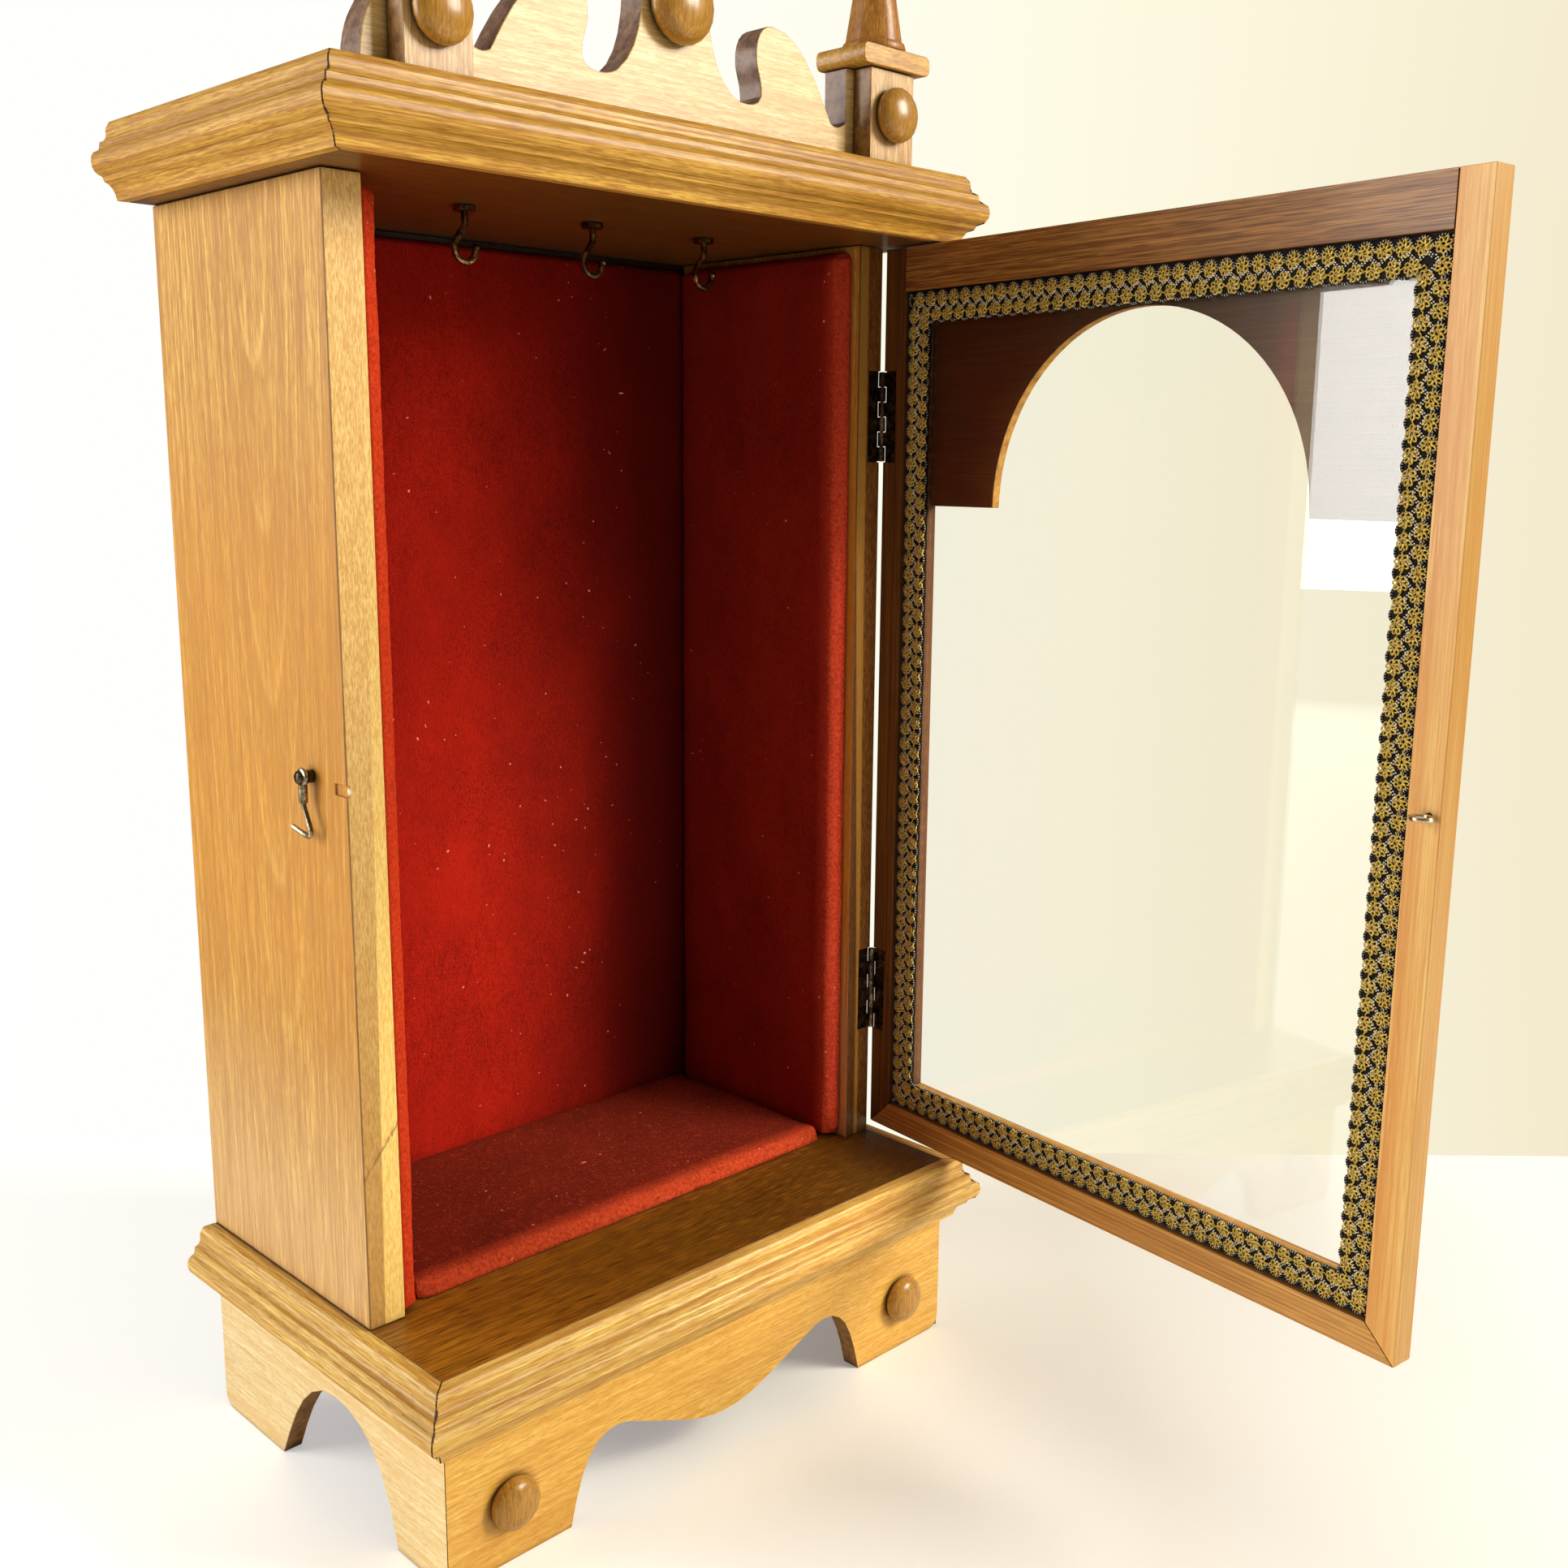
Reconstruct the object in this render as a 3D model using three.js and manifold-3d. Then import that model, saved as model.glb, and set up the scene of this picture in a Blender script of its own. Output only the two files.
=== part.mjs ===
// A table-top wooden shrine cabinet, in millimetres, +Z up.
// The case is drawn from its front left corner on the deck: x to the right,
// y to the back and z up. The whole is then set with its feet on the ground.

import * as THREE from 'three';
import { mergeVertices } from 'three/addons/utils/BufferGeometryUtils.js';
import Module from 'manifold-3d';

const wasm = await Module();
wasm.setup();

// Clearance left along glue lines and round anything let into wood
const GAP = 0.3;

// Case
const CASE_WIDTH = 265.5;
const CASE_DEPTH = 121;
const CASE_HEIGHT = 400;
const SIDE_THICKNESS = 14.5;
const BACK_THICKNESS = 8.5;
const BACK_RABBET = 6;

// Deck and base
const DECK_THICKNESS = 14.5;
const DECK_OVERHANG = 46;
const APRON_DROP = 82;
const FRONT_APRON_THICKNESS = 8.5;
const SIDE_APRON_THICKNESS = 8;
const FOOT_CORNER_RADIUS = 6;
const FRONT_FOOT_WIDTH = 53.75;
const APRON_KNOB_RADIUS = 10;
const APRON_KNOB_HEIGHT = 7.5;
const APRON_KNOB_INSET = 27.2;
const APRON_KNOB_DROP = 57.8;

// Crown and its moulding, whose profile also goes round the base
const CROWN_OVERHANG_FRONT = 27.5;
const CROWN_OVERHANG_SIDE = 8.5;
const MOULDING_HEIGHT = 27;
const MOULDING_REACH = 12.7;
const MOULDING_TOP_REACH = 5.7;

// Pediment
const PEDIMENT_FRONT = -18.5;
const PEDIMENT_THICKNESS = 12;
const PEDIMENT_TOP = 70;
const PEDIMENT_INSET = 4.25;
const PEDIMENT_KNOB_RADIUS = 13.5;
const PEDIMENT_KNOB_HEIGHT = 10;
const PEDIMENT_KNOB_LIFT = 41;
const POST_INSET = 27;
const POST_WIDTH = 25.5;
const POST_THICKNESS = 9;
const POST_HEIGHT = 35;
const POST_KNOB_RADIUS = 10.5;
const POST_KNOB_HEIGHT = 8;
const POST_KNOB_LIFT = 18;
const CAP_WIDTH = 39;
const CAP_THICKNESS = 7.5;
const CAP_OVERHANG = 2.5;
const SPIRE_RADIUS = 12.7;
const SPIRE_HEIGHT = 70;

// Velvet panels
const BACK_PAD_THICKNESS = 5;
const SIDE_PAD_THICKNESS = 8.5;
const FLOOR_PAD_THICKNESS = 7;
const PAD_ROLL = 3.6;
const PAD_CROWN = 0.9;
const PAD_TOP_GAP = 2.2;
const LEFT_PAD_FRONT = 0.4;
const RIGHT_PAD_FRONT = 4;
const FLOOR_PAD_FRONT = 6;

// Door, shut against the case; the stiles and rails share one section
const DOOR_OVERHANG = 8;
const DOOR_BOTTOM = 5;
const DOOR_TOP_CLEARANCE = 0.8;
const DOOR_THICKNESS = 11.6;
const DOOR_OPEN_DEGREES = 83.3;
const STRIP_WIDTH = 12;
const TOP_STRIP_WIDTH = 18;
const REBATE_WIDTH = 12;
const LIP_THICKNESS = 5.5;
const DOOR_EDGE_RADIUS = 2;
const GLASS_THICKNESS = 2.5;
const GLASS_CLEARANCE = 0.5;
const BRAID_WIDTH = 13.5;
const BRAID_THICKNESS = 2.4;
const ARCH_BOARD_HEIGHT = 77;
const ARCH_BOARD_THICKNESS = 4;
const ARCH_RADIUS = 75.5;

// Hinges, as offsets of their axis from the case's front right corner
const HINGE_AXIS_SIDE = 0.4;
const HINGE_AXIS_FRONT = 0.8;
const HINGE_LENGTH = 38;
const HINGE_INSET = 51.5;
const LEAF_WIDTH = 7.5;
const LEAF_THICKNESS = 0.8;
const KNUCKLE_RADIUS = 1.6;
const KNUCKLE_COUNT = 6;
const PIN_RADIUS = 0.8;
const HINGE_SCREW_HEAD = 1.5;
const HINGE_SCREW_SHANK = 0.8;
const HINGE_SCREW_LENGTH = 7;
const HINGE_SCREW_SHARE = 0.2;
const HINGE_SCREW_SLOT = 0.5;

// Latch on the left side
const LATCH_OFFSET = 3.9;
const LATCH_HEIGHT = 201.2;
const EYE_RING_RADIUS = 3.4;
const EYE_WIRE_RADIUS = 0.85;
const EYE_STAND_OFF = 4.8;
const EYE_SHANK_LENGTH = 7;
const EYE_DROP = 2.6;
const HOOK_REACH = 19.8;
const HOOK_WIRE_RADIUS = 0.95;
const HOOK_LOOP_RADIUS = 2.45;
const HOOK_BARREL_RADIUS = 1.6;
const HOOK_BARREL_END = 9;
const HOOK_TILT_DEGREES = 0.06;
const LATCH_SCREW_RADIUS = 1.2;
const LATCH_SCREW_LENGTH = 8;
const LATCH_SCREW_SLOT = 0.8;

// Cup hooks under the crown
const CUP_HOOK_SHARES = { left: 0.2908, middle: 0.5119, right: 0.7303 };
const CUP_HOOK_BACK = 35;
const CUP_HOOK_WIRE = 1.3;
const CUP_HOOK_COLLAR = 4.2;
const CUP_HOOK_COLLAR_THICKNESS = 1.8;
const CUP_HOOK_SCREW_LENGTH = 8;
const CUP_HOOK_TIP = [4.9, -14.2];

// Places worked out from the sizes above
const CENTRE = CASE_WIDTH / 2;
const DECK_FRONT = -DECK_OVERHANG;
const CROWN_FRONT = -CROWN_OVERHANG_FRONT;
const CROWN_LEFT = -CROWN_OVERHANG_SIDE;
const CROWN_RIGHT = CASE_WIDTH + CROWN_OVERHANG_SIDE;
const CROWN_TOP = CASE_HEIGHT + MOULDING_HEIGHT;
const BACK_PAD_BACK = CASE_DEPTH - BACK_THICKNESS - GAP;
const PEDIMENT_HALF_WIDTH = CENTRE - PEDIMENT_INSET;
const POST_OFFSET = CENTRE - POST_INSET;
const HINGE_X = CASE_WIDTH + HINGE_AXIS_SIDE;
const HINGE_LIFTS = { upper: CASE_HEIGHT - HINGE_INSET - HINGE_LENGTH, lower: HINGE_INSET };
const DOOR_WIDTH = CASE_WIDTH + DOOR_OVERHANG;
const DOOR_HEIGHT = CASE_HEIGHT - DOOR_TOP_CLEARANCE - DOOR_BOTTOM;
const LIP_DEPTH = DOOR_THICKNESS - LIP_THICKNESS;
const LEAF_MORTISE = LEAF_THICKNESS + GAP;

const X = new THREE.Vector3(1, 0, 0);
const Y = new THREE.Vector3(0, 1, 0);
const Z = new THREE.Vector3(0, 0, 1);
const LEFTWARD = X.clone().negate();
const FORWARD = Y.clone().negate();
const DOWN = Z.clone().negate();

// Materials

function finish(color, roughness, metalness = 0) {
  return new THREE.MeshStandardMaterial({ color, roughness, metalness });
}

const honeyWood = () => finish(0xcda55f, 0.45);
const brownWood = () => finish(0x8a5a28, 0.5);
const pineWood = () => finish(0xc98f48, 0.5);
const turnedWood = () => finish(0xa87838, 0.35);
const velvet = () => finish(0x96191a, 0.95);
const goldBraid = () => finish(0xb89a45, 0.6, 0.3);
const darkIron = () => finish(0x2b2622, 0.5, 0.8);
const nickel = () => finish(0xa09a8c, 0.3, 0.9);

function clearGlass() {
  const material = finish(0xe8efe8, 0.05);
  material.transparent = true;
  material.opacity = 0.25;
  return material;
}

// Solids

function piece(name, geometry, material) {
  const mesh = new THREE.Mesh(geometry, material);
  mesh.name = name;
  return mesh;
}

function solidOf(geometry) {
  const bare = geometry.clone();
  bare.deleteAttribute('normal');
  bare.deleteAttribute('uv');
  const merged = mergeVertices(bare, 1e-4);
  const corners = merged.index.array;
  const triangles = [];
  for (let i = 0; i < corners.length; i += 3) {
    const [a, b, c] = corners.slice(i, i + 3);
    if (a !== b && b !== c && c !== a) triangles.push(a, b, c);
  }
  return new wasm.Manifold(new wasm.Mesh({
    numProp: 3,
    vertProperties: new Float32Array(merged.attributes.position.array),
    triVerts: new Uint32Array(triangles),
  }));
}

function geometryOf(solid) {
  const { vertProperties, triVerts } = solid.getMesh();
  const geometry = new THREE.BufferGeometry();
  geometry.setAttribute('position', new THREE.BufferAttribute(vertProperties, 3));
  geometry.setIndex(new THREE.BufferAttribute(triVerts, 1));
  geometry.computeVertexNormals();
  return geometry;
}

function join(...geometries) {
  return geometryOf(geometries.map(solidOf).reduce((sum, next) => sum.add(next)));
}

function cut(geometry, ...tools) {
  return geometryOf(tools.map(solidOf).reduce((rest, tool) => rest.subtract(tool), solidOf(geometry)));
}

// A box between two corners
function block(x0, x1, y0, y1, z0, z1) {
  const geometry = new THREE.BoxGeometry(x1 - x0, y1 - y0, z1 - z0);
  return geometry.translate((x0 + x1) / 2, (y0 + y1) / 2, (z0 + z1) / 2);
}

// Turns a geometry's x and y to two given directions and its z square to both
function place(geometry, across, up, x, y, z) {
  const along = new THREE.Vector3().crossVectors(across, up);
  const matrix = new THREE.Matrix4().makeBasis(across, up, along).setPosition(x, y, z);
  return geometry.applyMatrix4(matrix);
}

function sheet(shape, thickness, curveSegments = 6) {
  return new THREE.ExtrudeGeometry(shape, { depth: thickness, curveSegments, bevelEnabled: false });
}

// A length of section, whose ends are cut back by each point's x times a slope
function mitredLength(section, length, startSlope, endSlope, curveSegments = 4) {
  const geometry = sheet(section, length, curveSegments);
  const position = geometry.attributes.position;
  for (let i = 0; i < position.count; i++) {
    const out = position.getX(i);
    const z = position.getZ(i);
    position.setZ(i, z > length / 2 ? z - endSlope * out : z + startSlope * out);
  }
  return geometry;
}

function rod(radius, length, segments = 12) {
  return new THREE.CylinderGeometry(radius, radius, length, segments);
}

// A rod from one point towards a direction
function rodFrom(x, y, z, direction, radius, length, segments = 12) {
  const geometry = rod(radius, length, segments).translate(0, length / 2, 0);
  geometry.applyQuaternion(new THREE.Quaternion().setFromUnitVectors(Y, direction));
  return geometry.translate(x, y, z);
}

// A turned piece, its axis from one point towards a direction
function turned(outline, segments, direction, x, y, z) {
  const geometry = new THREE.LatheGeometry(outline, segments);
  geometry.applyQuaternion(new THREE.Quaternion().setFromUnitVectors(Y, direction));
  return geometry.translate(x, y, z);
}

function bentWire(points, radius, steps, sides = 8) {
  const section = new THREE.Shape().absarc(0, 0, radius, 0, 2 * Math.PI);
  return new THREE.ExtrudeGeometry(section, {
    steps,
    curveSegments: sides / 2,
    extrudePath: new THREE.CatmullRomCurve3(points),
    bevelEnabled: false,
  });
}

// A shape that is the same on both sides of x = 0, from its right half
function symmetric(half, divisions) {
  const right = half.getPoints(divisions);
  const left = right.filter((p) => p.x > 0).map((p) => new THREE.Vector2(-p.x, p.y));
  return new THREE.Shape([...right, ...left.reverse()]);
}

// Case

function sideSection() {
  const inner = CASE_DEPTH - BACK_THICKNESS - GAP;
  return new THREE.Shape([
    new THREE.Vector2(0, 0),
    new THREE.Vector2(SIDE_THICKNESS, 0),
    new THREE.Vector2(SIDE_THICKNESS, inner),
    new THREE.Vector2(SIDE_THICKNESS - BACK_RABBET - GAP, inner),
    new THREE.Vector2(SIDE_THICKNESS - BACK_RABBET - GAP, CASE_DEPTH),
    new THREE.Vector2(0, CASE_DEPTH),
  ]);
}

function sideLeft() {
  const board = sheet(sideSection(), CASE_HEIGHT - 2 * GAP).translate(0, 0, GAP);
  const reach = EYE_RING_RADIUS + EYE_WIRE_RADIUS + 2 * GAP;
  const eyeBack = eyeCentreY() + reach;
  const eyeHeight = LATCH_HEIGHT - EYE_DROP;
  const nick = block(-1, reach - LATCH_OFFSET, -1, eyeBack, eyeHeight - 2, eyeHeight + 2);
  const depth = LATCH_SCREW_LENGTH + GAP;
  const hole = rodFrom(-1, latchPivotY(), LATCH_HEIGHT, X, LATCH_SCREW_RADIUS + GAP, depth + 1);
  return piece('side_left', cut(board, nick, hole), honeyWood());
}

function sideRight() {
  const board = sheet(sideSection(), CASE_HEIGHT - 2 * GAP);
  board.rotateZ(Math.PI).rotateX(Math.PI).translate(CASE_WIDTH, 0, CASE_HEIGHT - GAP);
  const cuts = Object.values(HINGE_LIFTS).flatMap((lift) => [
    caseMortise(lift),
    ...screwLifts(lift).map((z) => hingeScrewHole(caseScrewX(), LEAF_THICKNESS, z, Y)),
  ]);
  return piece('side_right', cut(board, ...cuts), honeyWood());
}

function backPanel() {
  const inset = SIDE_THICKNESS - BACK_RABBET;
  const front = CASE_DEPTH - BACK_THICKNESS;
  const board = block(inset, CASE_WIDTH - inset, front, CASE_DEPTH, GAP, CASE_HEIGHT - GAP);
  return piece('back_panel', board, brownWood());
}

function deckBoard() {
  const board = block(0, CASE_WIDTH, DECK_FRONT, CASE_DEPTH, -DECK_THICKNESS, 0);
  return piece('deck_board', board, brownWood());
}

function crownBoard() {
  const board = block(CROWN_LEFT, CROWN_RIGHT, CROWN_FRONT, CASE_DEPTH, CASE_HEIGHT, CROWN_TOP);
  const depth = CUP_HOOK_SCREW_LENGTH + GAP;
  const holes = Object.values(CUP_HOOK_SHARES).map((share) =>
    rodFrom(share * CASE_WIDTH, CUP_HOOK_BACK, CASE_HEIGHT - 1, Z, CUP_HOOK_WIRE + GAP, depth + 1));
  return piece('crown_board', cut(board, ...holes), brownWood());
}

// Mouldings: a rounded top, a quirk, a slope, a torus and a cove below

function mouldingSection() {
  const reach = MOULDING_REACH;
  const top = MOULDING_HEIGHT;
  const lip = MOULDING_TOP_REACH;
  const shape = new THREE.Shape();
  shape.moveTo(0, 0);
  shape.lineTo(reach - 8.6, 0);
  shape.quadraticCurveTo(reach - 7.9, 4.9, reach - 4.3, 6.1);
  shape.lineTo(reach - 3.7, 7.7);
  shape.bezierCurveTo(reach - 1.4, 8.2, reach, 9.8, reach, 12.4);
  shape.bezierCurveTo(reach, 14.6, reach - 0.7, 15.8, reach - 1.9, 16.1);
  shape.quadraticCurveTo(reach - 3.3, 16.5, reach - 3.3, 18.1);
  shape.lineTo(reach - 3.5, 19.4);
  shape.quadraticCurveTo(reach - 5.9, 19.9, reach - 6, 22.4);
  shape.quadraticCurveTo(lip + 1.2, 23.4, lip + 0.9, 24.6);
  shape.lineTo(lip, top - 0.9);
  shape.quadraticCurveTo(lip - 0.3, top, lip - 1.2, top);
  shape.lineTo(0, top);
  return shape;
}

// Three mitred lengths round the front and sides of a board
function mouldingRound(name, left, right, front, bottom) {
  const section = mouldingSection();
  const frontLength = right - left;
  const sideLength = CASE_DEPTH - front - GAP;
  const frontPiece = mitredLength(section, frontLength, -1, -1);
  const leftPiece = mitredLength(section, sideLength, -1, 0);
  const rightPiece = mitredLength(section, sideLength, 0, -1);
  return [
    piece(`${name}_front`, place(frontPiece, FORWARD, Z, right, front - GAP, bottom), honeyWood()),
    piece(`${name}_left`, place(leftPiece, LEFTWARD, Z, left - GAP, front + GAP / 2, bottom), honeyWood()),
    piece(`${name}_right`, place(rightPiece, X, Z, right + GAP, CASE_DEPTH - GAP / 2, bottom), honeyWood()),
  ];
}

// Base

// The waste that a mitre takes off at a front corner: inward is 1 at the left and -1
// at the right, and board is 1 for the front board and -1 for a side board
function cornerWaste(cornerX, inward, front, board) {
  const reach = FRONT_APRON_THICKNESS + 2;
  const near = [cornerX - inward, front - 1];
  const far = [cornerX + inward * reach, front + reach];
  const third = board > 0 ? [near[0], far[1]] : [far[0], near[1]];
  const corners = [near, far, third].map(([x, y]) => new THREE.Vector2(x, y));
  if (THREE.ShapeUtils.isClockWise(corners)) corners.reverse();
  return place(sheet(new THREE.Shape(corners), APRON_DROP + 2), X, Y, 0, 0, -APRON_DROP - 1);
}

function frontApron() {
  const half = new THREE.Path();
  const edge = CENTRE - FOOT_CORNER_RADIUS;
  half.moveTo(0, -67.5);
  half.bezierCurveTo(14, -67.5, 24, -61.5, 36.5, -56.8);
  half.bezierCurveTo(47, -52.6, 51, -49.6, 57, -49.6);
  half.bezierCurveTo(68, -49.6, 73.5, -58, CENTRE - FRONT_FOOT_WIDTH, -APRON_DROP);
  half.lineTo(edge, -APRON_DROP);
  half.absarc(edge, FOOT_CORNER_RADIUS - APRON_DROP, FOOT_CORNER_RADIUS, -Math.PI / 2, 0);
  half.lineTo(CENTRE, -DECK_THICKNESS - GAP);
  half.lineTo(0, -DECK_THICKNESS - GAP);
  const board = sheet(symmetric(half, 6), FRONT_APRON_THICKNESS);
  place(board, X, Z, CENTRE, DECK_FRONT + FRONT_APRON_THICKNESS, 0);
  const left = cornerWaste(0, 1, DECK_FRONT, 1);
  const right = cornerWaste(CASE_WIDTH, -1, DECK_FRONT, 1);
  return piece('apron_front', cut(board, left, right), honeyWood());
}

function sideApron(name, outerX) {
  const edge = CASE_DEPTH - FOOT_CORNER_RADIUS;
  const front = DECK_FRONT + GAP;
  const shape = new THREE.Shape();
  shape.moveTo(front, -DECK_THICKNESS - GAP);
  shape.lineTo(front, -APRON_DROP);
  shape.lineTo(-12.6, -APRON_DROP);
  shape.bezierCurveTo(-5.5, -48, 10, -38.9, 28, -38.7);
  shape.bezierCurveTo(50, -39, 60, -57, 72, -APRON_DROP);
  shape.lineTo(edge, -APRON_DROP);
  shape.absarc(edge, FOOT_CORNER_RADIUS - APRON_DROP, FOOT_CORNER_RADIUS, -Math.PI / 2, 0);
  shape.lineTo(CASE_DEPTH, -DECK_THICKNESS - GAP);
  const board = place(sheet(shape, SIDE_APRON_THICKNESS), Y, Z, outerX, 0, 0);
  const waste = outerX === 0 ? cornerWaste(0, 1, front, -1) : cornerWaste(CASE_WIDTH, -1, front, -1);
  return piece(name, cut(board, waste), honeyWood());
}

// Knobs: a domed button, slightly drawn in at its foot
function knobOutline(radius, height) {
  const path = new THREE.Path();
  path.moveTo(0, 0);
  path.lineTo(0.84 * radius, 0);
  path.bezierCurveTo(0.95 * radius, 0.02 * height, radius, 0.16 * height, radius, 0.35 * height);
  path.bezierCurveTo(radius, 0.72 * height, 0.58 * radius, height, 0, height);
  return path.getPoints(5);
}

function knob(name, x, y, z, radius, height) {
  return piece(name, turned(knobOutline(radius, height), 20, FORWARD, x, y - GAP, z), turnedWood());
}

// Pediment

// The board's outline is given as shares of its half width and of its height
function pedimentBoard() {
  const at = (across, up) => [across * PEDIMENT_HALF_WIDTH, up * PEDIMENT_TOP];
  const postTop = POST_HEIGHT / PEDIMENT_TOP;
  const postSide = (POST_OFFSET + POST_WIDTH / 2) / PEDIMENT_HALF_WIDTH;
  const half = new THREE.Path();
  half.moveTo(...at(0, 1));
  half.bezierCurveTo(...at(0.0646, 1), ...at(0.1167, 0.9043), ...at(0.1167, 0.7857));
  half.bezierCurveTo(...at(0.1167, 0.5143), ...at(0.1362, 0.3214), ...at(0.2109, 0.2229));
  half.bezierCurveTo(...at(0.2335, 0.1886), ...at(0.3152, 0.1686), ...at(0.3284, 0.2443));
  half.bezierCurveTo(...at(0.3315, 0.3286), ...at(0.3113, 0.3643), ...at(0.3082, 0.4286));
  half.bezierCurveTo(...at(0.3035, 0.5357), ...at(0.3307, 0.61), ...at(0.3735, 0.61));
  half.bezierCurveTo(...at(0.4825, 0.6143), ...at(0.5525, 0.4143), ...at(0.6233, 0.1871));
  half.quadraticCurveTo(...at(0.656, 0.15), ...at(0.6918, 0.2071));
  half.lineTo(...at(0.6918, postTop));
  half.lineTo(...at(postSide, postTop));
  half.bezierCurveTo(...at(0.93, 0.4), ...at(0.9455, 0.3286), ...at(0.965, 0.2714));
  half.bezierCurveTo(...at(0.9844, 0.2143), ...at(0.9977, 0.1286), ...at(1, 0));
  const board = sheet(symmetric(half, 6), PEDIMENT_THICKNESS);
  const back = PEDIMENT_FRONT + PEDIMENT_THICKNESS;
  return piece('pediment_board', place(board, X, Z, CENTRE, back, CROWN_TOP + GAP), honeyWood());
}

function post(name, x) {
  const front = PEDIMENT_FRONT - GAP - POST_THICKNESS;
  const bottom = CROWN_TOP + GAP;
  const half = POST_WIDTH / 2;
  const board = block(x - half, x + half, front, front + POST_THICKNESS, bottom, bottom + POST_HEIGHT);
  return piece(name, board, honeyWood());
}

// Caps: flat slabs with rounded ends, over a post and the board behind it
function cap(name, x) {
  const rounding = CAP_THICKNESS / 3;
  const end = CAP_WIDTH / 2;
  const half = new THREE.Path();
  half.moveTo(0, 0);
  half.lineTo(end - rounding, 0);
  half.quadraticCurveTo(end, 0, end, CAP_THICKNESS / 2);
  half.quadraticCurveTo(end, CAP_THICKNESS, end - rounding, CAP_THICKNESS);
  half.lineTo(0, CAP_THICKNESS);
  const depth = capBack() - capFront();
  const bottom = CROWN_TOP + POST_HEIGHT + 2 * GAP;
  return piece(name, place(sheet(symmetric(half, 4), depth), X, Z, x, capBack(), bottom), honeyWood());
}

function capFront() {
  return PEDIMENT_FRONT - GAP - POST_THICKNESS - CAP_OVERHANG;
}

function capBack() {
  return PEDIMENT_FRONT + PEDIMENT_THICKNESS + CAP_OVERHANG;
}

// Spires: a small base bead and a long taper to a rounded tip
function spire(name, x) {
  const path = new THREE.Path();
  path.moveTo(0, 0);
  path.lineTo(SPIRE_RADIUS, 0);
  path.quadraticCurveTo(SPIRE_RADIUS + 0.4, 1.5, SPIRE_RADIUS - 0.4, 3);
  path.lineTo(SPIRE_RADIUS - 1.3, 3.4);
  path.bezierCurveTo(SPIRE_RADIUS - 3, 14, 6, SPIRE_HEIGHT * 0.5, 2.4, SPIRE_HEIGHT - 3);
  path.quadraticCurveTo(1.8, SPIRE_HEIGHT, 0, SPIRE_HEIGHT);
  const y = (capFront() + capBack()) / 2;
  const z = CROWN_TOP + POST_HEIGHT + CAP_THICKNESS + 3 * GAP;
  return piece(name, turned(path.getPoints(6), 24, Z, x, y, z), honeyWood());
}

// Velvet panels: glued flat at the back, rolled over at their edges and a little crowned

function padStations(length) {
  const roll = [0, 0.08, 0.3, 0.62, 1].map((share) => share * PAD_ROLL);
  const middle = [0.25, 0.5, 0.75].map((share) => PAD_ROLL + share * (length - 2 * PAD_ROLL));
  return [...roll, ...middle, ...roll.map((d) => length - d).reverse()];
}

function rollShare(distance, length) {
  const inward = Math.min(distance, length - distance, PAD_ROLL) / PAD_ROLL;
  return Math.sqrt(1 - (1 - inward) ** 2);
}

function padHeight(x, y, width, height, thickness) {
  const crown = PAD_CROWN * Math.sin(Math.PI * x / width) * Math.sin(Math.PI * y / height);
  return (thickness - PAD_CROWN + crown) * rollShare(x, width) * rollShare(y, height);
}

function paddedPanel(width, height, thickness) {
  const xs = padStations(width);
  const ys = padStations(height);
  const columns = xs.length;
  const points = ys.flatMap((y) => xs.flatMap((x) => [x, y, padHeight(x, y, width, height, thickness)]));
  const triangles = [];
  for (let j = 0; j < ys.length - 1; j++) {
    for (let i = 0; i < columns - 1; i++) {
      const corner = j * columns + i;
      triangles.push(corner, corner + 1, corner + columns + 1);
      triangles.push(corner, corner + columns + 1, corner + columns);
    }
  }
  const rim = rimOf(columns, ys.length);
  points.push(width / 2, height / 2, 0);
  rim.forEach((corner, i) => triangles.push(columns * ys.length, rim[(i + 1) % rim.length], corner));
  const geometry = new THREE.BufferGeometry();
  geometry.setAttribute('position', new THREE.Float32BufferAttribute(points, 3));
  geometry.setIndex(triangles);
  geometry.computeVertexNormals();
  return geometry;
}

// The outer corners of a grid in turn, anticlockwise
function rimOf(columns, rows) {
  const rim = [];
  for (let i = 0; i < columns - 1; i++) rim.push(i);
  for (let j = 0; j < rows - 1; j++) rim.push(j * columns + columns - 1);
  for (let i = columns - 1; i > 0; i--) rim.push((rows - 1) * columns + i);
  for (let j = rows - 1; j > 0; j--) rim.push(j * columns);
  return rim;
}

function lining() {
  const left = SIDE_THICKNESS + GAP;
  const right = CASE_WIDTH - left;
  const bottom = GAP;
  const height = CASE_HEIGHT - PAD_TOP_GAP - bottom;
  const sideBack = BACK_PAD_BACK - BACK_PAD_THICKNESS - GAP;
  const floorLeft = left + SIDE_PAD_THICKNESS + GAP;
  const floorRight = CASE_WIDTH - floorLeft;
  const back = paddedPanel(right - left, height, BACK_PAD_THICKNESS);
  const floor = paddedPanel(floorRight - floorLeft, sideBack - FLOOR_PAD_FRONT, FLOOR_PAD_THICKNESS);
  const side = (front) => paddedPanel(sideBack - front, height, SIDE_PAD_THICKNESS);
  const leftSide = place(side(LEFT_PAD_FRONT), Y, Z, left, LEFT_PAD_FRONT, bottom);
  const rightSide = place(side(RIGHT_PAD_FRONT), FORWARD, Z, right, sideBack, bottom);
  return [
    piece('lining_back', place(back, X, Z, left, BACK_PAD_BACK, bottom), velvet()),
    piece('lining_left', leftSide, velvet()),
    piece('lining_right', rightSide, velvet()),
    piece('lining_floor', place(floor, X, Y, floorLeft, FLOOR_PAD_FRONT, bottom), velvet()),
  ];
}

// Cup hooks: a collar, a wire bent into an open cup and a ball at its tip

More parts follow.
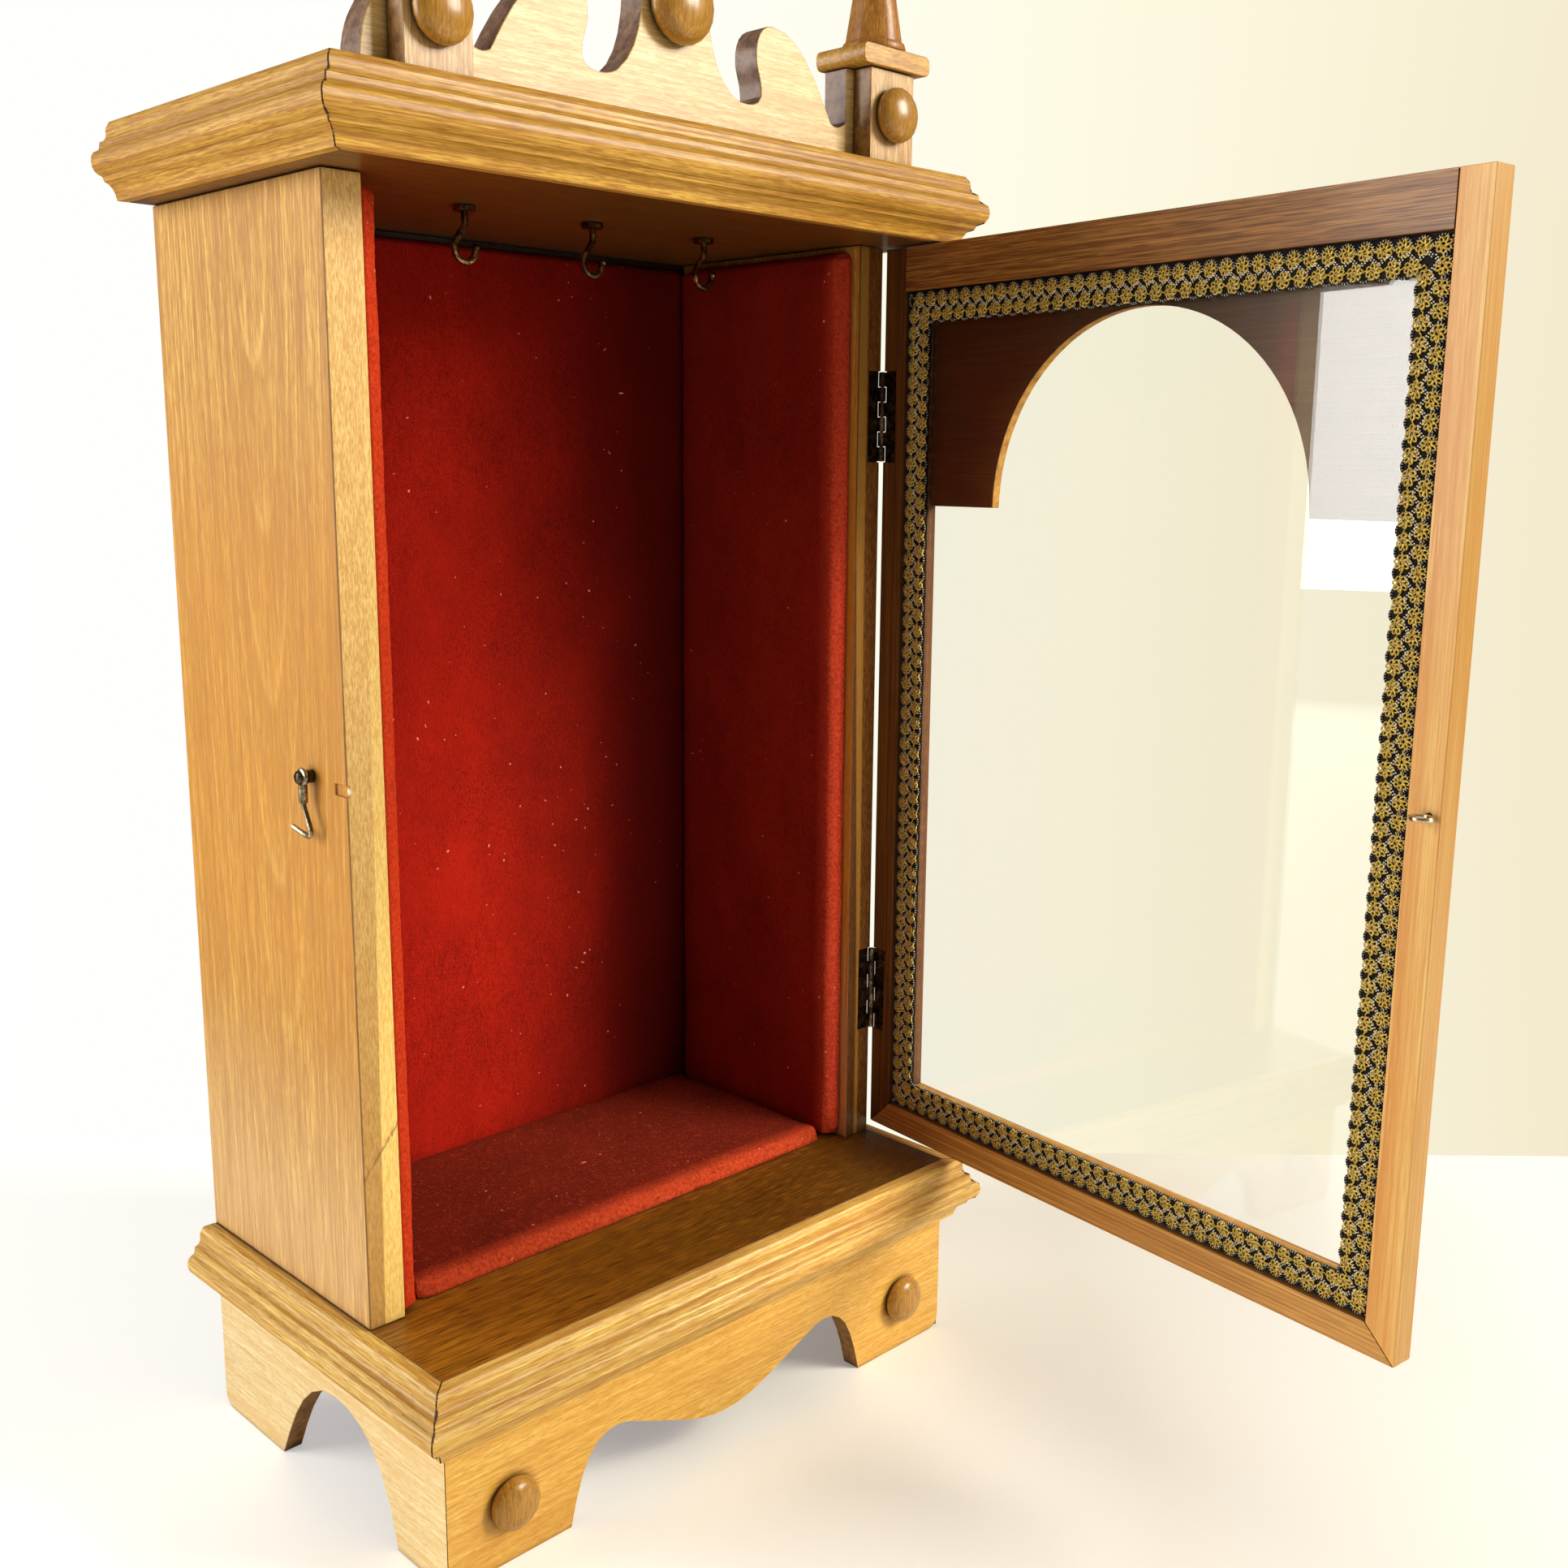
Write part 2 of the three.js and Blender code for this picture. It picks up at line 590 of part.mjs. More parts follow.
function cupHook(name, x) {
  const collarTop = -GAP;
  const wire = CUP_HOOK_WIRE;
  const stem = [[0, -1], [0, -7], [-2.6, -10.6], [-4.8, -14.6]];
  const bend = [...stem, [-3.4, -18.4], [0, -19.8], [3.4, -18.2], CUP_HOOK_TIP];
  const points = bend.map(([across, up]) => new THREE.Vector3(across, 0, up));
  const screw = rodFrom(0, 0, collarTop - 1, Z, wire, CUP_HOOK_SCREW_LENGTH, 8);
  const collar = rodFrom(0, 0, collarTop, DOWN, CUP_HOOK_COLLAR, CUP_HOOK_COLLAR_THICKNESS, 16);
  const ball = new THREE.SphereGeometry(wire * 1.25, 10, 6).translate(CUP_HOOK_TIP[0], 0, CUP_HOOK_TIP[1]);
  const hook = piece(name, join(screw, collar, bentWire(points, wire, 20), ball), darkIron());
  hook.position.set(x, CUP_HOOK_BACK, CASE_HEIGHT);
  return hook;
}

// Door, drawn shut from the hinge axis: x runs to minus the width, y is negative outward

function doorX(fromHingeEdge) {
  return -HINGE_AXIS_SIDE - fromHingeEdge;
}

function doorY(fromInnerFace) {
  return -HINGE_AXIS_FRONT - fromInnerFace;
}

// A stile or rail's section: x inward from the outer edge, y outward from the inner face
function doorSection(stripWidth) {
  const inner = stripWidth + REBATE_WIDTH;
  const radius = DOOR_EDGE_RADIUS;
  const shape = new THREE.Shape();
  shape.moveTo(0, 0);
  shape.lineTo(stripWidth, 0);
  shape.lineTo(stripWidth, LIP_DEPTH);
  shape.lineTo(inner, LIP_DEPTH);
  shape.lineTo(inner, DOOR_THICKNESS - radius / 2);
  shape.lineTo(inner - radius / 2, DOOR_THICKNESS);
  shape.lineTo(radius, DOOR_THICKNESS);
  shape.absarc(radius, DOOR_THICKNESS - radius, radius, Math.PI / 2, Math.PI);
  return shape;
}

function stileHinge() {
  const length = mitredLength(doorSection(STRIP_WIDTH), DOOR_HEIGHT, 1, 0);
  place(length, LEFTWARD, FORWARD, doorX(0), doorY(0), DOOR_BOTTOM);
  const cuts = Object.values(HINGE_LIFTS).flatMap((lift) => [
    doorMortise(lift),
    ...screwLifts(lift).map((z) => hingeScrewHole(doorScrewX(), doorY(LEAF_THICKNESS), z, FORWARD)),
  ]);
  return piece('stile_hinge', cut(length, ...cuts), pineWood());
}

function stileLatch() {
  const length = mitredLength(doorSection(STRIP_WIDTH), DOOR_HEIGHT, 0, 1);
  place(length, X, FORWARD, doorX(DOOR_WIDTH), doorY(0), DOOR_BOTTOM + DOOR_HEIGHT);
  const hole = rodFrom(eyeX(), doorY(-1), LATCH_HEIGHT - EYE_DROP, FORWARD,
    EYE_WIRE_RADIUS + GAP, EYE_SHANK_LENGTH + 1 + GAP, 8);
  return piece('stile_latch', cut(length, hole), pineWood());
}

function railBottom() {
  const length = mitredLength(doorSection(STRIP_WIDTH), DOOR_WIDTH - 2 * GAP, 1, 1);
  place(length, Z, FORWARD, doorX(DOOR_WIDTH - GAP), doorY(0), DOOR_BOTTOM);
  return piece('rail_bottom', length, pineWood());
}

// The top rail butts between the stiles, with tongues that fill their rebates
function railTop() {
  const top = DOOR_BOTTOM + DOOR_HEIGHT;
  const lipEnd = STRIP_WIDTH + REBATE_WIDTH + GAP;
  const tongueEnd = STRIP_WIDTH + GAP;
  const length = mitredLength(doorSection(TOP_STRIP_WIDTH), DOOR_WIDTH - 2 * lipEnd, 0, 0);
  place(length, DOWN, FORWARD, doorX(lipEnd), doorY(0), top);
  const tongues = block(doorX(DOOR_WIDTH - tongueEnd), doorX(tongueEnd),
    doorY(LIP_DEPTH - GAP), doorY(0), top - TOP_STRIP_WIDTH, top);
  return piece('rail_top', join(length, tongues), brownWood());
}

function rebateBox(clearance) {
  return {
    near: STRIP_WIDTH + clearance,
    far: DOOR_WIDTH - STRIP_WIDTH - clearance,
    bottom: DOOR_BOTTOM + STRIP_WIDTH + clearance,
    top: DOOR_BOTTOM + DOOR_HEIGHT - TOP_STRIP_WIDTH - clearance,
  };
}

function glassPane() {
  const { near, far, bottom, top } = rebateBox(GLASS_CLEARANCE);
  const outer = LIP_DEPTH - GAP;
  const pane = block(doorX(far), doorX(near), doorY(outer), doorY(outer - GLASS_THICKNESS), bottom, top);
  return piece('glass_pane', pane, clearGlass());
}

// The arched board fills the top of the sight opening, flush with the outer face
function archBoard() {
  const inset = STRIP_WIDTH + REBATE_WIDTH + GAP;
  const half = DOOR_WIDTH / 2 - inset;
  const top = ARCH_BOARD_HEIGHT;
  const path = new THREE.Path();
  path.moveTo(0, top);
  path.lineTo(half, top);
  path.lineTo(half, 0);
  path.absarc(0, 0, ARCH_RADIUS, 0, Math.PI / 2);
  const board = sheet(symmetric(path, 12), ARCH_BOARD_THICKNESS);
  const boardTop = DOOR_BOTTOM + DOOR_HEIGHT - TOP_STRIP_WIDTH - REBATE_WIDTH - GAP;
  const inner = DOOR_THICKNESS - ARCH_BOARD_THICKNESS;
  place(board, X, Z, doorX(DOOR_WIDTH / 2), doorY(inner), boardTop - top);
  return piece('arch_board', board, brownWood());
}

// Four lengths of braid, mitred round the rebate over the edge of the glass
function braid() {
  const { near, far, bottom, top } = rebateBox(GAP);
  const width = BRAID_WIDTH;
  const rim = BRAID_THICKNESS / 2;
  const section = new THREE.Shape([
    new THREE.Vector2(0, 0),
    new THREE.Vector2(width, 0),
    new THREE.Vector2(width, rim),
    new THREE.Vector2(width - rim, BRAID_THICKNESS),
    new THREE.Vector2(rim, BRAID_THICKNESS),
    new THREE.Vector2(0, rim),
  ]);
  const back = doorY(LIP_DEPTH - 2 * GAP - GLASS_THICKNESS);
  const across = far - near - 2 * GAP;
  const upright = top - bottom;
  const strip = (length) => mitredLength(section, length, 1, 1);
  return [
    piece('braid_top', place(strip(across), DOWN, Y, doorX(far - GAP), back, top), goldBraid()),
    piece('braid_bottom', place(strip(across), Z, Y, doorX(near + GAP), back, bottom), goldBraid()),
    piece('braid_hinge', place(strip(upright), LEFTWARD, Y, doorX(near), back, top), goldBraid()),
    piece('braid_latch', place(strip(upright), X, Y, doorX(far), back, bottom), goldBraid()),
  ];
}

// Hinges: each leaf is a plate let into the wood, with every other knuckle

function leaf(lift, firstKnuckle) {
  const step = HINGE_LENGTH / KNUCKLE_COUNT;
  const parts = [leafPlate(lift, firstKnuckle)];
  for (let i = firstKnuckle; i < KNUCKLE_COUNT; i += 2) {
    const length = step - GAP;
    parts.push(rodFrom(0, 0, lift + i * step + GAP / 2, Z, KNUCKLE_RADIUS, length, 16));
  }
  const bore = rodFrom(0, 0, lift - 1, Z, PIN_RADIUS + GAP, HINGE_LENGTH + 2, 16);
  const screws = screwLifts(lift).map((z) =>
    rodFrom(screwInset(), KNUCKLE_RADIUS + 1, z, FORWARD, HINGE_SCREW_HEAD + GAP, 3, 12));
  return cut(join(...parts), bore, ...screws);
}

// The plate, drawn to the left behind the axis, clear of the other leaf's knuckles
function leafPlate(lift, firstKnuckle) {
  const step = HINGE_LENGTH / KNUCKLE_COUNT;
  const back = KNUCKLE_RADIUS;
  const front = back - LEAF_THICKNESS;
  const clear = KNUCKLE_RADIUS + GAP;
  const plates = [block(-LEAF_WIDTH, -clear, front, back, lift, lift + HINGE_LENGTH)];
  for (let i = firstKnuckle; i < KNUCKLE_COUNT; i += 2) {
    const bottom = lift + i * step + GAP / 2;
    plates.push(block(-clear - 0.5, 0, front, back, bottom, bottom + step - GAP));
  }
  return join(...plates);
}

function screwLifts(lift) {
  return [HINGE_SCREW_SHARE, 1 - HINGE_SCREW_SHARE].map((share) => lift + share * HINGE_LENGTH);
}

function screwInset() {
  return -(LEAF_WIDTH + KNUCKLE_RADIUS) / 2;
}

function caseScrewX() {
  return HINGE_X + screwInset();
}

function doorScrewX() {
  return screwInset();
}

function caseMortise(lift) {
  return block(HINGE_X - LEAF_WIDTH - GAP, CASE_WIDTH + 1, -1, LEAF_MORTISE,
    lift - GAP, lift + HINGE_LENGTH + GAP);
}

function doorMortise(lift) {
  return block(-LEAF_WIDTH - GAP, 1, doorY(LEAF_MORTISE), doorY(-1),
    lift - GAP, lift + HINGE_LENGTH + GAP);
}

function hingeScrewHole(x, y, z, direction) {
  return rodFrom(x, y, z, direction, HINGE_SCREW_SHANK + GAP, HINGE_SCREW_LENGTH + GAP, 8);
}

function hingeScrew(name, x, y, z, direction) {
  const outline = [
    [0, 0],
    [HINGE_SCREW_HEAD, 0],
    [HINGE_SCREW_SHANK, LEAF_THICKNESS],
    [HINGE_SCREW_SHANK, HINGE_SCREW_LENGTH - 1],
    [0, HINGE_SCREW_LENGTH],
  ].map(([radius, along]) => new THREE.Vector2(radius, along));
  const half = HINGE_SCREW_SLOT / 2;
  const depth = HINGE_SCREW_SLOT * 0.7;
  const length = 2 * HINGE_SCREW_HEAD;
  const slot = block(x - half, x + half, y - depth, y + depth, z - length, z + length);
  return piece(name, cut(turned(outline, 10, direction, x, y, z), slot), darkIron());
}

function caseHinge(name, lift) {
  const caseLeaf = piece(`hinge_${name}_case_leaf`, leaf(lift, 0), darkIron());
  caseLeaf.position.set(HINGE_X, -HINGE_AXIS_FRONT, 0);
  const pin = rodFrom(HINGE_X, -HINGE_AXIS_FRONT, lift, Z, PIN_RADIUS, HINGE_LENGTH);
  const screws = screwLifts(lift).map((z, i) =>
    hingeScrew(`hinge_${name}_case_screw_${i + 1}`, caseScrewX(), 0, z, Y));
  return [caseLeaf, piece(`hinge_${name}_pin`, pin, darkIron()), ...screws];
}

function doorHinge(name, lift) {
  const geometry = leaf(-lift - HINGE_LENGTH, 0).rotateX(Math.PI);
  const screws = screwLifts(lift).map((z, i) =>
    hingeScrew(`hinge_${name}_door_screw_${i + 1}`, doorScrewX(), doorY(0), z, FORWARD));
  return [piece(`hinge_${name}_door_leaf`, geometry, darkIron()), ...screws];
}

// Latch: a screw eye on the door and a hook that drops into it from above

function eyeX() {
  return -LATCH_OFFSET - HINGE_X;
}

function eyeCentreY() {
  return EYE_STAND_OFF - 2 * HINGE_AXIS_FRONT;
}

function latchPivotY() {
  return eyeCentreY() + HOOK_REACH;
}

function screwEye() {
  const ring = new THREE.TorusGeometry(EYE_RING_RADIUS, EYE_WIRE_RADIUS, 8, 20);
  ring.rotateZ(Math.PI / 20).translate(0, EYE_STAND_OFF, 0);
  const neck = EYE_STAND_OFF - EYE_RING_RADIUS;
  const shank = rodFrom(0, neck, 0, FORWARD, EYE_WIRE_RADIUS * 0.95, neck + EYE_SHANK_LENGTH, 8);
  const eye = piece('screw_eye', join(ring, shank), nickel());
  eye.position.set(eyeX(), doorY(0), LATCH_HEIGHT - EYE_DROP);
  return eye;
}

// The hook hangs down from its loop: forward is -y
function latchHook() {
  const loop = new THREE.TorusGeometry(HOOK_LOOP_RADIUS, HOOK_WIRE_RADIUS, 8, 20).rotateY(Math.PI / 2);
  const barrelTop = HOOK_LOOP_RADIUS + 0.2;
  const barrel = rodFrom(0, 0, -barrelTop, DOWN, HOOK_BARREL_RADIUS, HOOK_BARREL_END - barrelTop, 12);
  const bend = [[8, 0], [10.5, 0.3], [17.4, 3.8], [19.6, 4.2], [20.6, 2.6], [20.2, -0.5], [18.7, -8.2]];
  const points = bend.map(([down, forward]) => new THREE.Vector3(0, -forward, -down));
  const hook = piece('latch_hook', join(loop, barrel, bentWire(points, HOOK_WIRE_RADIUS, 24)), nickel());
  hook.position.set(-LATCH_OFFSET, latchPivotY(), LATCH_HEIGHT);
  hook.rotation.x = THREE.MathUtils.degToRad(HOOK_TILT_DEGREES);
  return hook;
}

// The pivot screw: a shank in the side, a boss, a neck for the hook's loop and a domed head
function latchScrew() {
  const loopInner = LATCH_OFFSET - HOOK_WIRE_RADIUS - GAP;
  const loopOuter = LATCH_OFFSET + HOOK_WIRE_RADIUS + GAP;
  const head = HOOK_LOOP_RADIUS;
  const outline = new THREE.Path();
  outline.moveTo(0, -LATCH_SCREW_LENGTH);
  outline.lineTo(LATCH_SCREW_RADIUS, 1 - LATCH_SCREW_LENGTH);
  outline.lineTo(LATCH_SCREW_RADIUS, GAP);
  outline.lineTo(2 * LATCH_SCREW_RADIUS, GAP);
  outline.lineTo(2 * LATCH_SCREW_RADIUS, loopInner - 0.3);
  outline.lineTo(LATCH_SCREW_RADIUS, loopInner);
  outline.lineTo(LATCH_SCREW_RADIUS, loopOuter);
  outline.lineTo(head, loopOuter);
  outline.quadraticCurveTo(head, loopOuter + 1.4, 0, loopOuter + 1.4);
  const screw = turned(outline.getPoints(4), 16, LEFTWARD, 0, latchPivotY(), LATCH_HEIGHT);
  const half = LATCH_SCREW_SLOT / 2;
  const slot = block(-loopOuter - 3, -loopOuter - 0.6, latchPivotY() - half, latchPivotY() + half,
    LATCH_HEIGHT - 2 * head, LATCH_HEIGHT + 2 * head);
  return piece('latch_screw', cut(screw, slot), nickel());
}

// Assembly

function door() {
  const group = new THREE.Group();
  group.add(stileHinge(), stileLatch(), railTop(), railBottom());
  group.add(glassPane(), archBoard(), ...braid(), screwEye());
  for (const [name, lift] of Object.entries(HINGE_LIFTS)) group.add(...doorHinge(name, lift));
  group.position.set(HINGE_X, -HINGE_AXIS_FRONT, 0);
  group.rotation.z = THREE.MathUtils.degToRad(DOOR_OPEN_DEGREES);
  return group;
}

function cabinet() {
  const group = new THREE.Group();
  const sides = { left: -1, right: 1 };
  group.add(sideLeft(), sideRight(), backPanel(), deckBoard(), crownBoard());
  group.add(...mouldingRound('crown_moulding', CROWN_LEFT, CROWN_RIGHT, CROWN_FRONT, CASE_HEIGHT));
  group.add(...mouldingRound('base_moulding', 0, CASE_WIDTH, DECK_FRONT, -MOULDING_HEIGHT));
  group.add(frontApron(), sideApron('apron_left', 0));
  group.add(sideApron('apron_right', CASE_WIDTH - SIDE_APRON_THICKNESS));
  group.add(pedimentBoard());
  group.add(knob('pediment_knob', CENTRE, PEDIMENT_FRONT, CROWN_TOP + PEDIMENT_KNOB_LIFT,
    PEDIMENT_KNOB_RADIUS, PEDIMENT_KNOB_HEIGHT));
  for (const [name, side] of Object.entries(sides)) {
    const x = CENTRE + side * POST_OFFSET;
    group.add(post(`post_${name}`, x), cap(`cap_${name}`, x), spire(`spire_${name}`, x));
    group.add(knob(`post_knob_${name}`, x, PEDIMENT_FRONT - GAP - POST_THICKNESS,
      CROWN_TOP + GAP + POST_KNOB_LIFT, POST_KNOB_RADIUS, POST_KNOB_HEIGHT));
    group.add(knob(`apron_knob_${name}`, CENTRE + side * (CENTRE - APRON_KNOB_INSET), DECK_FRONT,
      -APRON_KNOB_DROP, APRON_KNOB_RADIUS, APRON_KNOB_HEIGHT));
  }
  group.add(...lining());
  for (const [name, share] of Object.entries(CUP_HOOK_SHARES)) {
    group.add(cupHook(`cup_hook_${name}`, share * CASE_WIDTH));
  }
  for (const [name, lift] of Object.entries(HINGE_LIFTS)) group.add(...caseHinge(name, lift));
  group.add(latchScrew(), latchHook(), door());
  return group;
}

// The origin is the middle of the ground that the cabinet covers
function standOnGround(group) {
  group.updateMatrixWorld(true);
  const bounds = new THREE.Box3().setFromObject(group, true);
  const middle = bounds.getCenter(new THREE.Vector3());
  group.position.set(-middle.x, -middle.y, -bounds.min.z);
  const stand = new THREE.Group();
  stand.add(group);
  return stand;
}

export default standOnGround(cabinet());
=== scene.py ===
import math

import bmesh
import bpy
from mathutils import Euler, Matrix, Vector, noise


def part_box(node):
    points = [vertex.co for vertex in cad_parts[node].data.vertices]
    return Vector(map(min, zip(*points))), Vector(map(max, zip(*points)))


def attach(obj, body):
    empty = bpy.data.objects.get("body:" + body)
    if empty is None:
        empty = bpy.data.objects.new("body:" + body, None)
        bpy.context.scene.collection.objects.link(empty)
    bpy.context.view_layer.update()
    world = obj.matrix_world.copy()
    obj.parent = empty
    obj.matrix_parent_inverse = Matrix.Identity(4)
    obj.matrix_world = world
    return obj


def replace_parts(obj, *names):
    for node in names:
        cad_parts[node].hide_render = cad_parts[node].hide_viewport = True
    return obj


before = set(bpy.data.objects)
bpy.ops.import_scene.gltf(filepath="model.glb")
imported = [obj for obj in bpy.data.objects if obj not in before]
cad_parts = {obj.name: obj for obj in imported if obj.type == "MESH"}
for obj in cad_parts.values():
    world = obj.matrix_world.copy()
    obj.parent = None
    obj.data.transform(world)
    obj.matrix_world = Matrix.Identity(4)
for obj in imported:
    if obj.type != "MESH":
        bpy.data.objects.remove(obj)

for stray in ("Cube", "Light", "Camera"):
    if stray in bpy.data.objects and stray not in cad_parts:
        bpy.data.objects.remove(bpy.data.objects[stray])
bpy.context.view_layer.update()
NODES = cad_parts
SCENE = bpy.context.scene
MM = 0.001

# Camera, as the photograph was taken
CAMERA_PLACE = (-0.41075, -0.411475, 0.390)
CAMERA_AHEAD = Vector((0.69306, 0.69524, -0.19056))
CAMERA_RIGHT = Vector((0.7093, -0.70485, 0.00814))
CAMERA_LENS = 37.54
SENSOR = 36.0
WALL_DISTANCE = 0.8927

# Door: its frame of reference runs from the hinge edge, inward face and floor
DOOR_AXIS = Vector((0.13315, 0.075725, 0.082))
DOOR_OPEN = math.radians(83.3)
DOOR_ALONG = Vector((-math.cos(DOOR_OPEN), -math.sin(DOOR_OPEN), 0))
DOOR_OUT = Vector((math.sin(DOOR_OPEN), -math.cos(DOOR_OPEN), 0))
DOOR_EDGE = 0.4 * MM
DOOR_FACE = 0.8 * MM
DOOR_TURN = math.pi - DOOR_OPEN

# Braid, in door measures
BRAID_NEAR = 12.3 * MM
BRAID_FAR = 261.2 * MM
BRAID_BOTTOM = 17.3 * MM
BRAID_TOP = 380.9 * MM
BRAID_BACK = 3.0 * MM
BRAID_WIDTH = 13.5 * MM
BRAID_PITCH = 6.8 * MM
ROW_OFFSET = 3.0 * MM
CORD_SWING = 1.05 * MM
CORD_LIFT = 1.3 * MM
CORD_REACH = 1.9 * MM
CORD_RADIUS = 0.4 * MM
THREAD_PITCH = 0.4 * MM
KNOT_POINTS = 70
KNOT_LOBES = 3.5
TWIST_STEP = 0.55 * MM
TWIST_LENGTH = 2.3 * MM

# Case, in the model's own coordinates
CASE_HALF_WIDTH = 132.75 * MM
CASE_FRONT = 76.525 * MM
SIDE_THICKNESS = 14.5 * MM
DECK_TOP = 82 * MM
CASE_TOP = 482 * MM

# Woods
LOW_SPECULAR = 0.3
STREAK_SCALE = 1300.0
RING_WAVE = 1.2 * MM
RING_FRAY = 0.5 * MM
# How far the painted shade in corners and grooves reaches
CORNER_SHADE_REACH = 3.5 * MM
SIDE_HEART = (0.040, 0.050, 0.285)
STAIN_RISE = 0.076
CHIP_PLACE = (-0.1323, 0.0768, 0.2806)

# Carried-over nodes: where they are joined, and angles in degrees
JOIN_DISTANCE = 0.00001
SMOOTH_BELOW = 33
FLAT_BELOW = 0.6
BEVEL_ABOVE = 40

# Lining: its grids, its shape as shares of the thickness, its rim and its swelling
PAD_STEP = 6 * MM
PAD_FINE_STEP = 1.6 * MM
PAD_CORNER = 5 * MM
PAD_SHARE = 0.97
EDGE_SHARE = 0.86
CROWN_SHARE = 0.12
WAVE_SHARE = 0.05
RIM_WAVE = 0.8 * MM
TUFT = 0.35 * MM
GLUED_BELOW = 0.05 * MM
SWELL_CAP = 0.6 * MM
SWELL_FRAMES = 20
SWELL_PRESSURE = 4

# Light: each lamp's place, side, power and colour
LAMPS = {
    "window_right": ((1.416, -1.812, 1.4), 0.95, 69, (1.0, 0.94, 0.83)),
    "window_left": ((-1.638, 1.147, 0.8), 1.25, 36, (1.0, 0.98, 0.94)),
}
LAMP_TARGET = Vector((0, 0, 0.3))
FILL_COLOUR = (1.0, 0.94, 0.8, 1.0)
FILL_STRENGTH = 0.2
WALL_SPREAD = 0.45
FLOOR_REACH = 6


# Colours

def linear(channel):
    share = channel / 255
    return share / 12.92 if share <= 0.04045 else ((share + 0.055) / 1.055) ** 2.4


def rgb(red, green, blue):
    return (linear(red), linear(green), linear(blue), 1.0)


def between(one, other, share):
    return tuple(a + (b - a) * share for a, b in zip(one, other))


# Materials

class Graph:
    """A node tree and the nodes that are added to it."""

    def __init__(self, tree):
        self.tree = tree

    def node(self, kind, inputs=None, **settings):
        made = self.tree.nodes.new(kind)
        for name, value in settings.items():
            setattr(made, name, value)
        for name, value in (inputs or {}).items():
            self.feed(made.inputs[name], value)
        return made

    def feed(self, socket, value):
        if isinstance(value, bpy.types.NodeSocket):
            self.tree.links.new(value, socket)
        else:
            socket.default_value = value

    def place(self, kind="Object"):
        return self.node("ShaderNodeTexCoord").outputs[kind]

    def mapped(self, vector, location=(0, 0, 0), rotation=(0, 0, 0), scale=(1, 1, 1)):
        inputs = {"Vector": vector, "Location": location, "Rotation": rotation, "Scale": scale}
        return self.node("ShaderNodeMapping", inputs).outputs[0]

    def noise(self, vector, scale, detail=2.0, roughness=0.5, distortion=0.0):
        inputs = {"Vector": vector, "Scale": scale, "Detail": detail, "Roughness": roughness,
                  "Distortion": distortion}
        return self.node("ShaderNodeTexNoise", inputs).outputs[0]

    def math(self, operation, a, b=0.0):
        return self.node("ShaderNodeMath", {0: a, 1: b}, operation=operation).outputs[0]

    def plus(self, a, b):
        return self.math("ADD", a, b)

    def minus(self, a, b):
        return self.math("SUBTRACT", a, b)

    def times(self, a, b):
        return self.math("MULTIPLY", a, b)

    def measure(self, operation, vector, other=(0, 0, 0)):
        """A number from vectors: a dot product, a distance or a length."""
        inputs = {0: vector, 1: other}
        return self.node("ShaderNodeVectorMath", inputs, operation=operation).outputs["Value"]

    def span(self, value, low, high, to_low=0.0, to_high=1.0):
        """A value between low and high, carried over to another pair of limits."""
        inputs = {"Value": value, "From Min": low, "From Max": high, "To Min": to_low,
                  "To Max": to_high}
        return self.node("ShaderNodeMapRange", inputs).outputs[0]

    def ramp(self, value, *stops):
        made = self.node("ShaderNodeValToRGB", {"Fac": value})
        elements = made.color_ramp.elements
        while len(elements) < len(stops):
            elements.new(0.5)
        for element, (position, colour) in zip(elements, stops):
            element.position = position
            element.color = colour
        return made.outputs["Color"]

    def mix(self, factor, a, b):
        inputs = {0: factor, 6: a, 7: b}
        return self.node("ShaderNodeMix", inputs, data_type="RGBA", clamp_factor=True).outputs[2]

    def seen(self):
        """One for the camera's rays and for those that pass through the glass."""
        rays = self.node("ShaderNodeLightPath").outputs
        return self.math("MAXIMUM", rays["Is Camera Ray"], rays["Is Transmission Ray"])


class Finish(Graph):
    """One material."""

    def __init__(self, name, **constants):
        self.material = bpy.data.materials.new(name)
        self.material.use_nodes = True
        super().__init__(self.material.node_tree)
        self.shader = next(n for n in self.tree.nodes if n.type == "BSDF_PRINCIPLED")
        self.set(**constants)

    def set(self, **values):
        for name, value in values.items():
            self.feed(self.shader.inputs[name.replace("_", " ")], value)

    def bump(self, height, strength, distance):
        inputs = {"Height": height, "Strength": strength, "Distance": distance}
        self.set(Normal=self.node("ShaderNodeBump", inputs).outputs[0])

    def facing(self, axis):
        """How squarely the surface faces an axis, from 0 to 1."""
        return self.math("ABSOLUTE", self.measure("DOT_PRODUCT", self.place("Normal"), axis))


# Turns that lay a piece's grain along z
GRAIN = {"z": (0, 0, 0), "x": (0, math.radians(-90), 0), "y": (math.radians(90), 0, 0)}

# Wood tones: middle, pale and dark
SIDE = (rgb(230, 174, 62), rgb(250, 210, 114), rgb(172, 112, 34))
FRONT_EDGE = (rgb(228, 182, 104), rgb(252, 220, 152), rgb(206, 152, 82))
CROWN = (rgb(232, 174, 62), rgb(250, 208, 100), rgb(156, 98, 28))
BASE = (rgb(250, 202, 88), rgb(255, 230, 140), rgb(174, 114, 42))
APRON = (rgb(252, 200, 84), rgb(254, 216, 122), rgb(208, 146, 54))
APRON_SIDE = (rgb(255, 230, 168), rgb(255, 246, 206), rgb(226, 184, 116))
PEDIMENT = (rgb(238, 204, 132), rgb(250, 230, 172), rgb(204, 158, 88))
POST = (rgb(230, 186, 116), rgb(246, 216, 156), rgb(172, 122, 62))
SPIRE = (rgb(184, 116, 34), rgb(218, 160, 74), rgb(134, 82, 24))
DECK = (rgb(138, 84, 13), rgb(176, 116, 24), rgb(78, 44, 7))
CEILING = (rgb(120, 74, 20), rgb(146, 94, 32), rgb(84, 48, 12))
